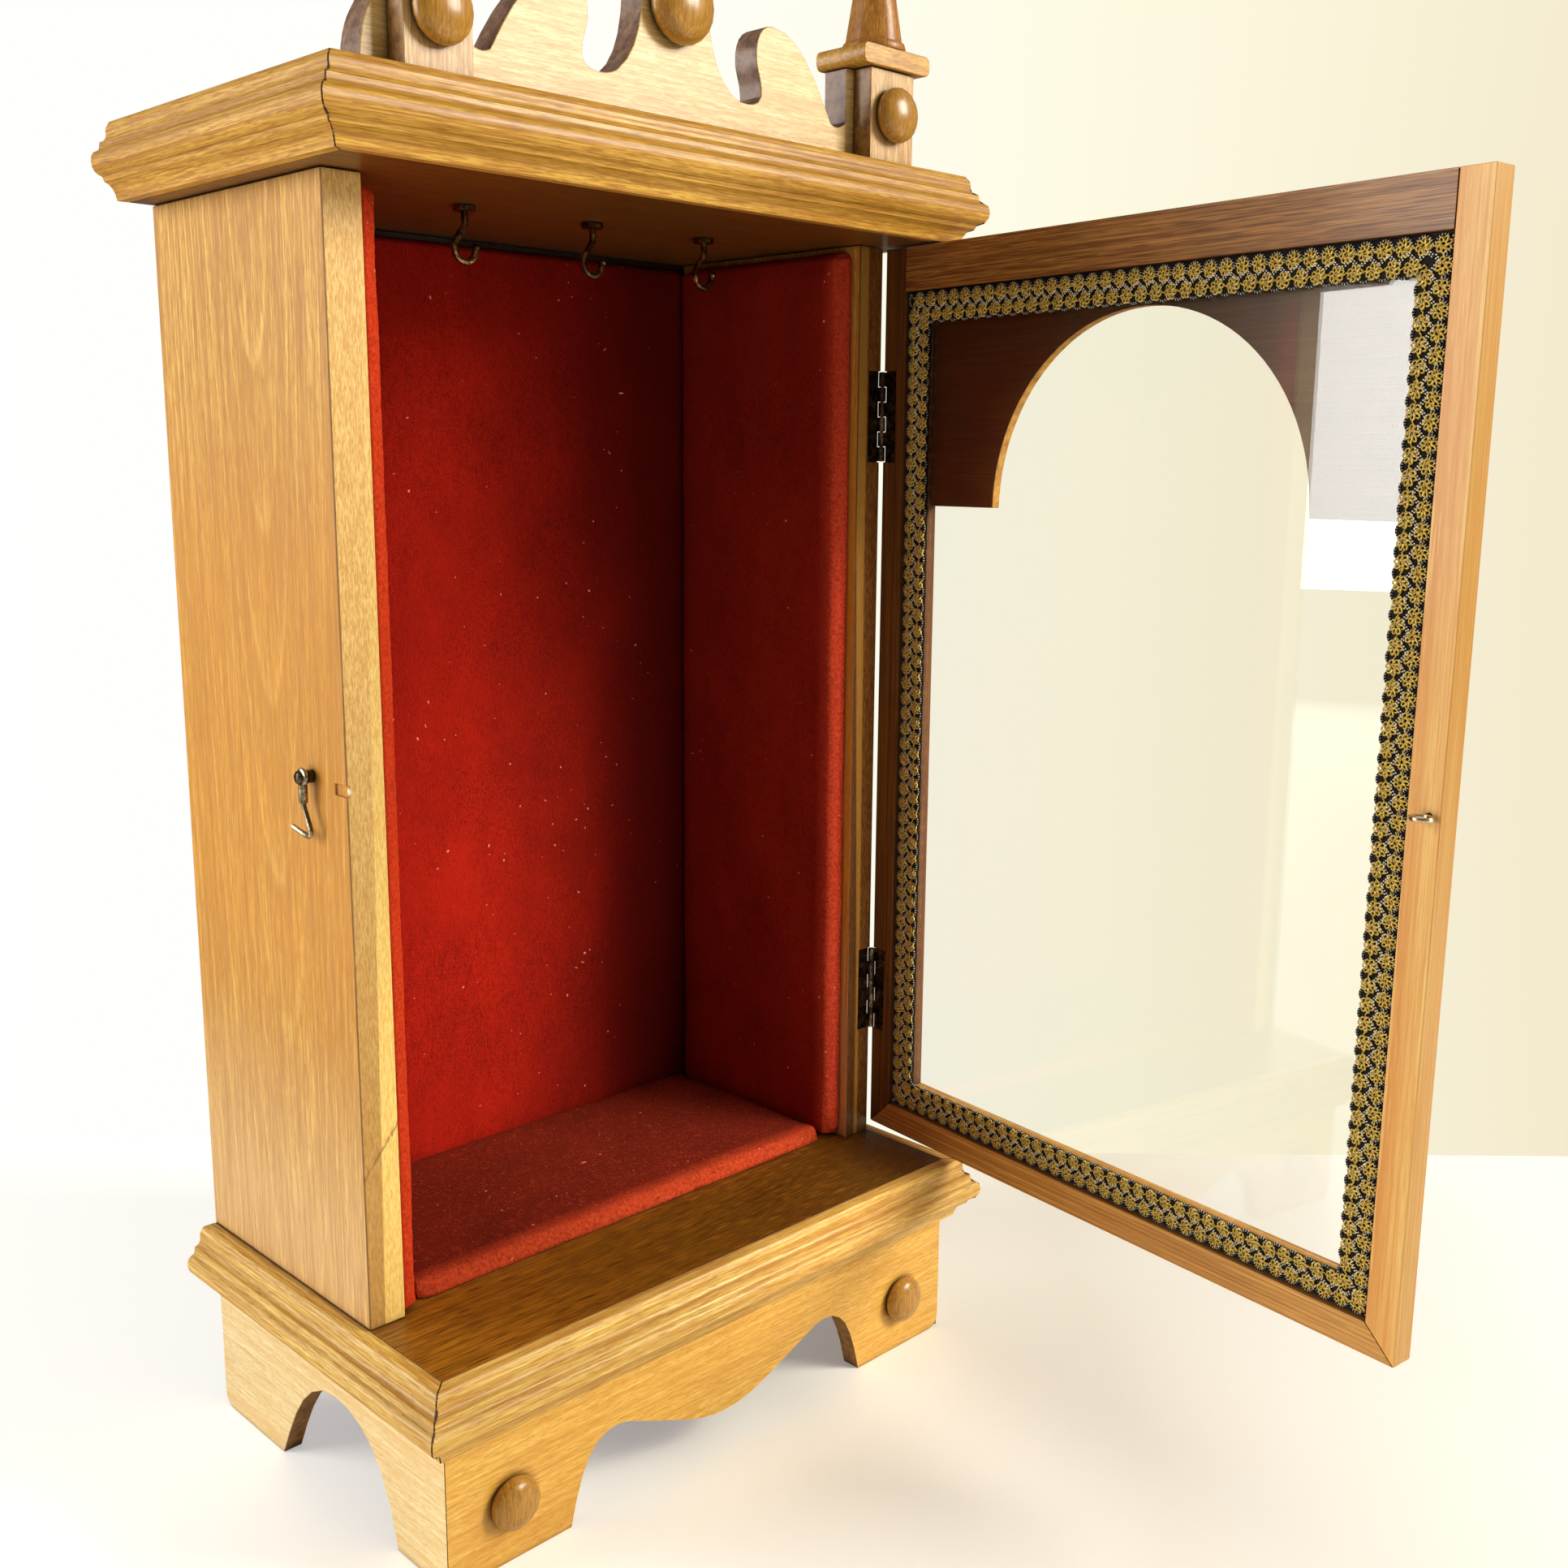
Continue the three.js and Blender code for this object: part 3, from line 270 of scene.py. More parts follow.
PINE = (rgb(249, 210, 118), rgb(255, 226, 144), rgb(216, 142, 66))
# Hinge stile and right board's front edge: partly the wood's own brown, partly painted shade from
# the case and the door
SHADED_HINGE_STILE = (rgb(122, 72, 24), rgb(158, 100, 40), rgb(66, 36, 12))
RAIL_BOTTOM = (rgb(236, 174, 84), rgb(248, 198, 112), rgb(156, 98, 40))
WALNUT = (rgb(180, 118, 50), rgb(216, 158, 86), rgb(98, 56, 22))
ARCH = (rgb(86, 62, 22), rgb(130, 94, 42), rgb(50, 32, 12))
KNOB = (rgb(192, 138, 48), rgb(218, 168, 76), rgb(146, 98, 32))
BACK = (rgb(190, 138, 80), rgb(212, 164, 104), rgb(146, 98, 52))
SAWN = (rgb(178, 132, 72), rgb(118, 82, 42))
SAWN_PEDIMENT = (rgb(156, 120, 96), rgb(98, 70, 56))
# Dark brown of the painted shade in corners and grooves
CORNER_SHADE = rgb(58, 32, 10)


class Wood(Finish):
    """Varnished wood whose grain runs along one axis of the case or of the door."""

    def __init__(self, name, tones, grain="z", door=False, seed=0.0, share=0.06):
        super().__init__(name, Specular_IOR_Level=LOW_SPECULAR)
        self.mid, self.pale, self.dark = tones
        self.seed = seed
        self.here = self.place()
        turned = self.mapped(self.here, rotation=(0, 0, DOOR_TURN)) if door else self.here
        self.run = self.mapped(turned, rotation=GRAIN[grain])
        self.x, self.y, self.z = self.node("ShaderNodeSeparateXYZ", {0: self.here}).outputs
        self.streaks = self.noise(self.stretched(share), STREAK_SCALE, 3.0, 0.65)
        low, high = between(self.mid, self.dark, 0.65), between(self.mid, self.pale, 0.6)
        self.colour = self.mix(self.span(self.streaks, 0.35, 0.65), low, high)

    def stretched(self, share, offset=0.0):
        """Coordinates drawn out along the grain."""
        seed = self.seed + offset
        return self.mapped(self.run, location=(seed, seed * 1.7, seed * 0.6), scale=(1, 1, share))

    def paint(self, mask, colour):
        self.colour = self.mix(mask, self.colour, colour)

    def growth(self, pitch, heart, tilt=(0.0, 0.0), shade=0.35, line=0.6, line_colour=None):
        """Growth rings round a tilted heart, each shaded to one side and ended by a thin line."""
        turn = Euler((math.radians(tilt[0]), math.radians(tilt[1]), 0)).to_matrix()
        log = self.mapped(self.run, location=-(turn @ Vector(heart)), rotation=turn.to_euler())
        flat = self.node("ShaderNodeVectorMath", {0: log, 1: (1, 1, 0)}, operation="MULTIPLY")
        reach = self.measure("LENGTH", flat.outputs[0])
        waves = self.noise(self.stretched(0.3, 4.0), 32.0, 2.0)
        reach = self.plus(reach, self.span(waves, 0.0, 1.0, -RING_WAVE, RING_WAVE))
        reach = self.plus(reach, self.span(self.streaks, 0.0, 1.0, -RING_FRAY, RING_FRAY))
        phase = self.math("DIVIDE", reach, pitch * MM)
        share, number = self.math("FRACT", phase), self.math("FLOOR", phase)
        chance = self.node("ShaderNodeTexWhiteNoise", {"W": number}, noise_dimensions="1D")
        strength = self.span(chance.outputs["Value"], 0.0, 1.0, 0.35, 1.0)
        start, end = (0.0, shade) if shade > 0 else (-shade, 0.0)
        self.paint(self.times(self.span(share, 0.1, 0.85, start, end), strength), self.dark)
        edge = self.times(self.span(share, 0.80, 0.91), self.span(share, 1.0, 0.94))
        faint = self.span(strength, 0.0, 1.0, 0.0, line)
        self.paint(self.times(edge, faint), line_colour or self.dark)

    def flecks(self, amount, width=0.6, length=8.0, colour=None, offset=9.0, low=0.58, high=0.70):
        """Short dashes along the grain."""
        spots = self.noise(self.stretched(1.0 / length, offset), 1.0 / (width * MM), 1.0, 0.5)
        self.paint(self.span(spots, low, high, 0.0, amount), colour or self.dark)

    def bands(self, amount, width=2.6, colour=None, offset=41.0):
        """Long soft streaks, a few millimetres wide."""
        soft = self.noise(self.stretched(0.03, offset), 1.0 / (width * MM), 2.0, 0.55)
        self.paint(self.span(soft, 0.46, 0.64, 0.0, amount), colour or self.dark)

    def clouds(self, amount):
        """Broad darker patches."""
        patches = self.noise(self.stretched(0.4, 17.0), 16.0, 2.0, 0.5)
        self.paint(self.span(patches, 0.4, 0.7, 0.0, amount), self.dark)

    def sawn(self, axis, tones=SAWN):
        """Rough brown edges, where a saw cut across the board."""
        marks = self.noise(self.here, 260.0, 4.0, 0.7)
        tone = self.mix(self.span(marks, 0.35, 0.65), tones[0], tones[1])
        self.paint(self.span(self.facing(axis), 0.35, 0.75, 1.0, 0.0), tone)

    def varnish(self, roughness=0.42, coat=0.25, relief=0.16):
        """Ends the material: painted shade in its corners and grooves, gloss and relief."""
        # Painted shade: where ambient occlusion finds a corner or groove, the colour darkens to
        # dark brown
        shut = self.node("ShaderNodeAmbientOcclusion", {"Distance": CORNER_SHADE_REACH}, samples=4)
        self.paint(self.span(shut.outputs["AO"], 0.85, 0.35, 0.0, 0.75), CORNER_SHADE)
        shine = self.span(self.streaks, 0.3, 0.7, roughness + 0.06, roughness - 0.05)
        self.set(Base_Color=self.colour, Roughness=shine, Coat_Weight=coat, Coat_Roughness=0.2)
        self.bump(self.streaks, relief, 0.0003)
        return self.material


def plain_wood(name, tones, pitch=5.0, heart=(0.0, 0.06, 0.0), tilt=(0.0, 0.0), shade=0.3,
               line=0.3, flecks=0.6, clouds=0.25, bands=0.4, length=10.0, edges=None,
               edge_tones=SAWN, grain="z", door=False, seed=0.0, share=0.06, darker_facing=None,
               **ending):
    """Wood with no marks of its own."""
    f = Wood(name, tones, grain, door, seed, share)
    f.growth(pitch, heart, tilt, shade=shade, line=line)
    f.flecks(flecks, 0.45, length, low=0.52, high=0.64)
    f.flecks(flecks * 0.6, 0.6, length * 0.7, f.pale, 23.0)
    f.bands(bands)
    f.clouds(clouds)
    if edges:
        f.sawn(edges, edge_tones)
    # Faces square to the given axis are painted a darker gold
    if darker_facing:
        f.paint(f.span(f.facing(darker_facing), 0.6, 0.9, 0.0, 0.6), rgb(176, 124, 44))
    return f.varnish(**ending)


def left_edge(f, edge, mottle, depth):
    """The left board's front edge: a pale strip of painted light, rubbed wood below it and a
    slanting stain.
    """
    # Painted light: a pale strip along the inner arris, widest at the foot and fading higher up
    width = f.span(f.z, DECK_TOP, CASE_TOP, 8.4 * MM, 1.0 * MM)
    lit_strip = f.span(f.minus(width, depth), -0.2 * MM, 0.3 * MM)
    lit_strip = f.times(lit_strip, f.span(f.z, 0.2, 0.36, 1.0, 0.35))
    rubbed = f.mix(mottle, rgb(150, 104, 40), rgb(206, 158, 84))
    edge = f.mix(f.span(f.z, 0.34, 0.15, 0.0, 0.75), edge, rubbed)
    pale = f.mix(f.span(mottle, 0.38, 0.62), rgb(240, 192, 98), rgb(254, 222, 134))
    edge = f.mix(lit_strip, edge, pale)
    across = f.minus(f.minus(DECK_TOP + STAIN_RISE, f.times(depth, 1.25)), f.z)
    ragged = f.plus(f.math("ABSOLUTE", across), f.span(mottle, 0.3, 0.7, 0.0, 1.2 * MM))
    return f.mix(f.span(ragged, 1.9 * MM, 0.7 * MM, 0.0, 0.75), edge, rgb(150, 98, 44))


def right_edge(f, edge, mottle, depth, dark):
    """The right board's front edge: darkened by painted shade, with a golden strip beside the door
    that is partly wear and partly painted light.
    """
    # Golden strip, partly wear and partly painted light: narrower and further out towards the foot
    start = f.span(f.z, 0.16, 0.36, 5.5 * MM, 0.8 * MM)
    end = f.span(f.z, 0.16, 0.36, 7.6 * MM, 6.0 * MM)
    wear_and_highlight = f.times(f.span(f.minus(depth, start), -0.3 * MM, 0.3 * MM),
                   f.span(f.minus(end, depth), -0.3 * MM, 0.3 * MM))
    # Painted shade: darker towards the inner arris, beside the lining
    shaded = f.mix(f.span(depth, 6.0 * MM, 4.0 * MM, 0.0, 0.6), edge, dark)
    return f.mix(wear_and_highlight, shaded, f.mix(mottle, rgb(150, 100, 34), rgb(188, 138, 62)))


def side_wood(name, side, seed):
    """A side board: narrow arches of pale lines outside, and a mottled front edge."""
    f = Wood(name, SIDE, seed=seed)
    inset, forward, height = SIDE_HEART
    heart = (side * (CASE_HALF_WIDTH - inset), CASE_FRONT + forward, height)
    f.growth(3.9, heart, (0.0, -3.6 * side), shade=-0.4, line=0.85, line_colour=f.pale)
    f.flecks(0.65, 0.45, 14.0, low=0.5, high=0.64)
    f.flecks(0.15, 0.7, 8.0, f.pale, 23.0)
    f.bands(0.6)
    f.clouds(0.35)
    # Partly the board's own tone, partly painted light and shade: darker and more orange at mid
    # height, paler towards the foot
    middle = f.times(f.span(f.z, 0.44, 0.36, 0.0, 0.45), f.span(f.z, 0.14, 0.22))
    f.paint(middle, rgb(216, 142, 34))
    f.paint(f.span(f.z, 0.19, 0.11, 0.0, 0.5), rgb(238, 200, 150))
    f.bands(0.4, 1.2, rgb(176, 120, 66), 57.0)
    mottle = f.noise(f.stretched(0.16, 31.0), 2100.0, 2.0, 0.5, 0.6)
    mid, pale, dark = FRONT_EDGE if side < 0 else SHADED_HINGE_STILE
    low, high = between(mid, dark, 0.7), between(mid, pale, 0.5)
    edge = f.ramp(mottle, (0.38, low), (0.5, mid), (0.62, high))
    outward = f.times(f.x, side)
    depth = f.plus(outward, SIDE_THICKNESS - CASE_HALF_WIDTH)
    if side < 0:
        edge = left_edge(f, edge, mottle, depth)
    else:
        edge = right_edge(f, edge, mottle, depth, dark)
    f.paint(f.span(f.facing((0, 1, 0)), 0.6, 0.9), edge)
    arris = f.times(f.span(outward, CASE_HALF_WIDTH - 0.6 * MM, CASE_HALF_WIDTH),
                    f.span(f.y, CASE_FRONT + 0.9 * MM, CASE_FRONT + 0.4 * MM))
    f.paint(f.times(arris, f.span(f.streaks, 0.3, 0.5, 0.5, 0.9)), rgb(112, 66, 24))
    if side < 0:
        away = f.measure("DISTANCE", f.here, CHIP_PLACE)
        f.paint(f.span(away, 1.4 * MM, 1.0 * MM), rgb(253, 244, 214))
    return f.varnish(0.45, 0.1)


def deck_wood():
    """The brown deck: fine dark pores, a few pale scratches, painted light towards its left and
    painted shade towards its right.
    """
    f = Wood("brown_deck", DECK, "x", seed=0.8)
    f.growth(2.4, (-0.02, 0.1, 0.0), shade=0.4, line=0.4)
    f.clouds(0.6)
    # Painted light: the left of the deck is lightened towards a paler gold
    f.paint(f.span(f.x, -0.11, 0.02, 0.55, 0.0), rgb(196, 128, 28))
    # Painted shade: the deck darkens towards its right side
    f.paint(f.span(f.x, 0.0, 0.12, 0.0, 0.7), rgb(72, 40, 8))
    f.bands(0.5)
    f.flecks(0.9, 0.4, 34.0, low=0.5, high=0.6)
    f.flecks(0.6, 0.5, 20.0, f.pale, 23.0, low=0.54)
    scratch = f.noise(f.mapped(f.here, rotation=(0, 0, 0.5), scale=(1, 0.05, 1)), 500.0, 0.0)
    f.paint(f.span(scratch, 0.83, 0.86, 0.0, 0.5), rgb(196, 150, 84))
    return f.varnish(0.42, 0.12)


def velvet(name, deep, bright, glow, fibres=0.0, right_shade=0.0):
    """Cotton velvet: a short pile with brushed patches, lint, a woven rib and a frayed rim lit up
    by painted sheen.
    """
    f = Finish(name, Roughness=0.95, Sheen_Weight=0.25, Sheen_Roughness=0.45,
               Sheen_Tint=glow, Specular_IOR_Level=0.1)
    place = f.place()
    pile = f.noise(place, 2300.0, 3.0, 0.75)
    ribs = f.noise(f.mapped(place, scale=(1, 1, 0.25)), 1500.0, 1.0, 0.5)
    brushed = f.noise(f.mapped(place, scale=(1, 1, 0.6)), 22.0, 4.0, 0.65)
    shade = f.plus(f.times(pile, 0.7), f.times(ribs, 0.15))
    shade = f.plus(shade, f.times(brushed, 0.25))
    colour = f.ramp(shade, (0.43, deep), (0.66, bright))
    if fibres:
        strand = f.noise(place, 330.0, 2.0, 0.5, 1.5)
        strand = f.math("ABSOLUTE", f.minus(strand, 0.5))
        broken = f.span(f.noise(place, 700.0, 1.0), 0.45, 0.6, 0.0, fibres)
        colour = f.mix(f.times(f.span(strand, 0.03, 0.005), broken), colour, glow)
    # Painted shade: the back darkens towards its right corner
    if right_shade:
        x = f.node("ShaderNodeSeparateXYZ", {0: place}).outputs[0]
        shadow = between(deep, (0, 0, 0, 1), 0.8)
        colour = f.mix(f.span(x, -0.01, 0.085, 0.0, right_shade), colour, shadow)
    tufts = f.noise(place, 760.0, 4.0, 0.75)
    # Painted sheen: the rolled rim that shows is lightened towards the glow colour, broken into
    # tufts
    rim = f.node("ShaderNodeAttribute", attribute_name="rim").outputs["Fac"]
    frayed = f.times(rim, f.span(tufts, 0.36, 0.6, 0.3, 1.0))
    colour = f.mix(frayed, colour, glow)
    lint = f.span(f.noise(place, 520.0, 0.0), 0.87, 0.89)
    colour = f.mix(lint, colour, rgb(236, 150, 120))
    f.set(Base_Color=colour)
    f.bump(f.plus(pile, f.times(ribs, 0.6)), 0.6, 0.0005)
    return f.material


def metal(name, colour, wear_and_highlight, roughness, wear):
    """Old metal: stained, with rubbed brighter patches."""
    f = Finish(name, Metallic=1.0)
    place = f.place()
    stain = f.noise(place, 260.0, 4.0, 0.65)
    speck = f.noise(place, 1600.0, 2.0, 0.6)
    rubbed = f.span(f.plus(stain, f.times(speck, 0.3)), wear, wear + 0.2)
    f.set(Base_Color=f.mix(rubbed, colour, wear_and_highlight),
          Roughness=f.span(rubbed, 0.0, 1.0, roughness, roughness * 0.55))
    f.bump(speck, 0.15, 0.0001)
    return f.material


def thread(name, colour, wear_and_highlight, metallic, roughness):
    """Spun metallic thread, with its twist in the bump."""
    f = Finish(name, Metallic=metallic)
    place = f.place()
    twist = f.node("ShaderNodeTexWave", {
        "Vector": place, "Scale": 0.314 / THREAD_PITCH, "Distortion": 3.0, "Detail": 1.0,
    }, bands_direction="DIAGONAL").outputs["Fac"]
    # Painted glints: random specks of the thread are lightened to its brighter colour
    glint = f.noise(place, 1500.0, 2.0, 0.6)
    f.set(Base_Color=f.mix(f.span(glint, 0.4, 0.62), colour, wear_and_highlight), Roughness=roughness)
    f.bump(twist, 0.6, 0.00015)
    return f.material


def glass():
    """A clear pane, which lets light through to what is behind it."""
    f = Finish("window_glass", Roughness=0.0, IOR=1.5, Transmission_Weight=1.0,
               Base_Color=rgb(252, 253, 250))
    output = next(n for n in f.tree.nodes if n.type == "OUTPUT_MATERIAL")
    clear = f.node("ShaderNodeBsdfTransparent", {"Color": rgb(250, 250, 246)})
    shadow = f.node("ShaderNodeLightPath").outputs["Is Shadow Ray"]
    inputs = {0: shadow, 1: f.shader.outputs[0], 2: clear.outputs[0]}
    f.feed(output.inputs["Surface"], f.node("ShaderNodeMixShader", inputs).outputs[0])
    return f.material


# Carried-over nodes

def tidy_group():
    """Joins a CAD node's loose triangles and smooths its round surfaces."""
    tree = bpy.data.node_groups.new("joined_and_smooth", "GeometryNodeTree")
    for way in ("INPUT", "OUTPUT"):
        tree.interface.new_socket("Geometry", in_out=way, socket_type="NodeSocketGeometry")
    g = Graph(tree)

    def step(kind, geometry, inputs=None, **settings):
        inputs = {"Geometry": geometry, **(inputs or {})}
        return g.node(f"GeometryNode{kind}", inputs, **settings).outputs[0]

    shape = step("MergeByDistance", g.node("NodeGroupInput").outputs[0],
                 {"Distance": JOIN_DISTANCE})
    shape = step("RemoveAttribute", shape, {"Name": "custom_normal"})
    shape = step("SetShadeSmooth", shape)
    angle = g.node("GeometryNodeInputMeshEdgeAngle").outputs["Unsigned Angle"]
    gentle = g.node("FunctionNodeCompare", {0: angle, 1: math.radians(SMOOTH_BELOW)},
                    operation="LESS_THAN").outputs[0]
    shape = step("SetShadeSmooth", shape, {"Shade Smooth": gentle}, domain="EDGE")
    g.node("NodeGroupOutput", {0: shape})
    return tree


JOINED = tidy_group()


def dress(name, material, bevel=0.0):
    """Gives a CAD node its material, smooth round surfaces and softened arrises."""
    piece = NODES[name]
    for slot in piece.material_slots:
        slot.material = material
    piece.modifiers.new("joined", "NODES").node_group = JOINED
    if bevel:
        flat = piece.modifiers.new("flat", "DECIMATE")
        flat.decimate_type = "DISSOLVE"
        flat.angle_limit = math.radians(FLAT_BELOW)
        rounded = piece.modifiers.new("rounded", "BEVEL")
        rounded.width = bevel
        rounded.segments = 2
        rounded.limit_method = "ANGLE"
        rounded.angle_limit = math.radians(BEVEL_ABOVE)
        rounded.harden_normals = True


def back_wood():
    """Plain wood behind, with painted shade in the gap over the lining."""
    f = Wood("plain_back", BACK, seed=2.6)
    f.growth(6.0, (0.0, 0.06, 0.0))
    f.flecks(0.5)
    f.bands(0.4)
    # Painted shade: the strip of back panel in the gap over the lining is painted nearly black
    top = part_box("back_panel")[1]
    inside = f.span(f.y, top.y - 0.6 * MM, top.y - 1.0 * MM)
    above = f.span(f.z, top.z - 4.5 * MM, top.z - 4.0 * MM)
    f.paint(f.times(inside, above), rgb(26, 15, 8))
    return f.varnish(0.55, 0.1)


def dress_case():
    dress("side_left", side_wood("honey_side_left", -1, 0.3), 0.5 * MM)
    dress("side_right", side_wood("honey_side_right", 1, 1.9), 0.5 * MM)
    dress("back_panel", back_wood(), 0.4 * MM)
    dress("deck_board", deck_wood(), 0.3 * MM)
    crown = plain_wood("brown_crown", CEILING, 3.0, grain="x", seed=3.1, clouds=0.4)
    dress("crown_board", crown, 0.3 * MM)
    moulding = dict(line=0.7, coat=0.12, length=18.0, share=0.03)
    for level, tones, seed in (("crown", CROWN, 4.0), ("base", BASE, 5.2)):
        front = plain_wood(f"golden_{level}_front", tones, 3.5, grain="x", seed=seed,
                           clouds=0.35, roughness=0.42, **moulding)
        dress(f"{level}_moulding_front", front)
        side = plain_wood(f"golden_{level}_side", tones, 3.5, grain="y", seed=seed + 0.4,
                          clouds=0.4, roughness=0.44, **moulding)
        for hand in ("left", "right"):
            dress(f"{level}_moulding_{hand}", side)
    front = plain_wood("honey_apron_front", APRON, 4.5, grain="x", seed=6.1, edges=(0, 1, 0),
                       line=0.2)
    dress("apron_front", front, 0.5 * MM)
    side = plain_wood("honey_apron_side", APRON_SIDE, 4.5, grain="y", seed=6.7,
                      edges=(1, 0, 0), line=0.2)
    for hand in ("left", "right"):
        dress(f"apron_{hand}", side, 0.5 * MM)
    knobs = plain_wood("turned_knob", KNOB, 2.6, seed=7.0, heart=(0.0, 0.0, 0.0),
                       roughness=0.32, coat=0.4, flecks=0.25, bands=0.2, clouds=0.1,
                       shade=0.45, line=0.45, relief=0.06)
    for name in NODES:
        if "_knob" in name:
            dress(name, knobs)


def dress_pediment():
    board = plain_wood("pale_pediment", PEDIMENT, 5.0, grain="x", seed=8.2, edges=(0, 1, 0),
                       edge_tones=SAWN_PEDIMENT, line=0.2, clouds=0.15)
    dress("pediment_board", board, 0.5 * MM)
    post = plain_wood("honey_post", POST, 4.0, seed=8.9, edges=(0, 1, 0))
    cap = plain_wood("golden_cap", CROWN, 4.0, grain="x", seed=9.4)
    spire = plain_wood("golden_spire", SPIRE, 3.0, seed=9.9, heart=(0.1, 0.05, 0.0), relief=0.1)
    for hand in ("left", "right"):
        dress(f"post_{hand}", post, 0.5 * MM)
        dress(f"cap_{hand}", cap, 0.4 * MM)
        dress(f"spire_{hand}", spire)


def dress_door():
    outward = (math.sin(DOOR_TURN), math.cos(DOOR_TURN), 0)
    across = (math.cos(DOOR_TURN), -math.sin(DOOR_TURN), 0)
    flat = dict(door=True, heart=(0.2, 0.35, 0.0), flecks=0.35, length=30.0, share=0.012)
    pine = dict(flat, shade=0.75, line=0.5, clouds=0.15)
    pine_rail = dict(pine, grain="x", heart=(0.35, 0.2, 0.0))
    walnut = dict(door=True, grain="x", heart=(0.3, 0.3, 0.0), flecks=0.8, clouds=0.35,
                  length=40.0, share=0.012)
    arch = dict(walnut, tilt=(0, 4), line=0.7, edges=outward,
                edge_tones=(rgb(214, 160, 66), rgb(150, 100, 34)))
    for name, material in (
        ("stile_hinge", plain_wood("brown_stile", SHADED_HINGE_STILE, 2.0, seed=10.3, **flat)),
        ("stile_latch", plain_wood("pine_stile", PINE, 1.7, seed=11.1, darker_facing=across, **pine)),
        ("rail_bottom", plain_wood("pine_rail_bottom", RAIL_BOTTOM, 1.9, seed=12.2,
                                   **pine_rail)),
        ("rail_top", plain_wood("walnut_rail_top", WALNUT, 1.6, seed=13.4, **walnut)),
        ("arch_board", plain_wood("walnut_arch", ARCH, 7.0, seed=14.6, **arch)),
    ):
        dress(name, material, 0.3 * MM)
    dress("glass_pane", glass())


def dress_metal():
    finishes = (
        ("hinge_", metal("blackened_iron", rgb(58, 46, 38), rgb(150, 125, 100), 0.42, 0.62)),
        ("cup_hook_", metal("dark_bronze", rgb(70, 50, 34), rgb(190, 150, 100), 0.36, 0.62)),
        ("screw_eye", metal("old_nickel", rgb(176, 160, 130), rgb(225, 212, 185), 0.3, 0.5)),
        ("latch_hook", metal("dull_nickel", rgb(112, 98, 76), rgb(196, 182, 152), 0.34, 0.6)),
        ("latch_screw", metal("tarnished_steel", rgb(74, 62, 48), rgb(150, 132, 104), 0.4,
                              0.62)),
    )
    for name in NODES:
        for start, material in finishes:
            if name.startswith(start):
                dress(name, material)


# Meshes

def from_lists(name, vertices, faces, materials, smooth=True, material_of=None):
    mesh = bpy.data.meshes.new(name)
    mesh.from_pydata(vertices, [], faces)
    for material in materials:
        mesh.materials.append(material)
    for polygon in mesh.polygons:
        polygon.use_smooth = smooth
    if material_of:
        mesh.polygons.foreach_set("material_index", material_of)
    mesh.validate()
    piece = bpy.data.objects.new(name, mesh)
    SCENE.collection.objects.link(piece)
    return piece


def roll(distance, radius):
    """The height share at an edge that rolls over, from 0 at the rim to 1 inside."""
    inward = min(distance, radius) / radius
    return math.sqrt(max(0.0, 1 - (1 - inward) ** 2))


def stations(length, first, last, step):
    """Places across a panel, close together where its edges roll over."""
    shares = (0, 0.04, 0.14, 0.3, 0.52, 0.78, 1.0)
    count = max(2, round((length - first - last) / step))
    inner = [first + (length - first - last) * i / count for i in range(1, count)]
    return [s * first for s in shares] + inner + [length - s * last for s in reversed(shares)]


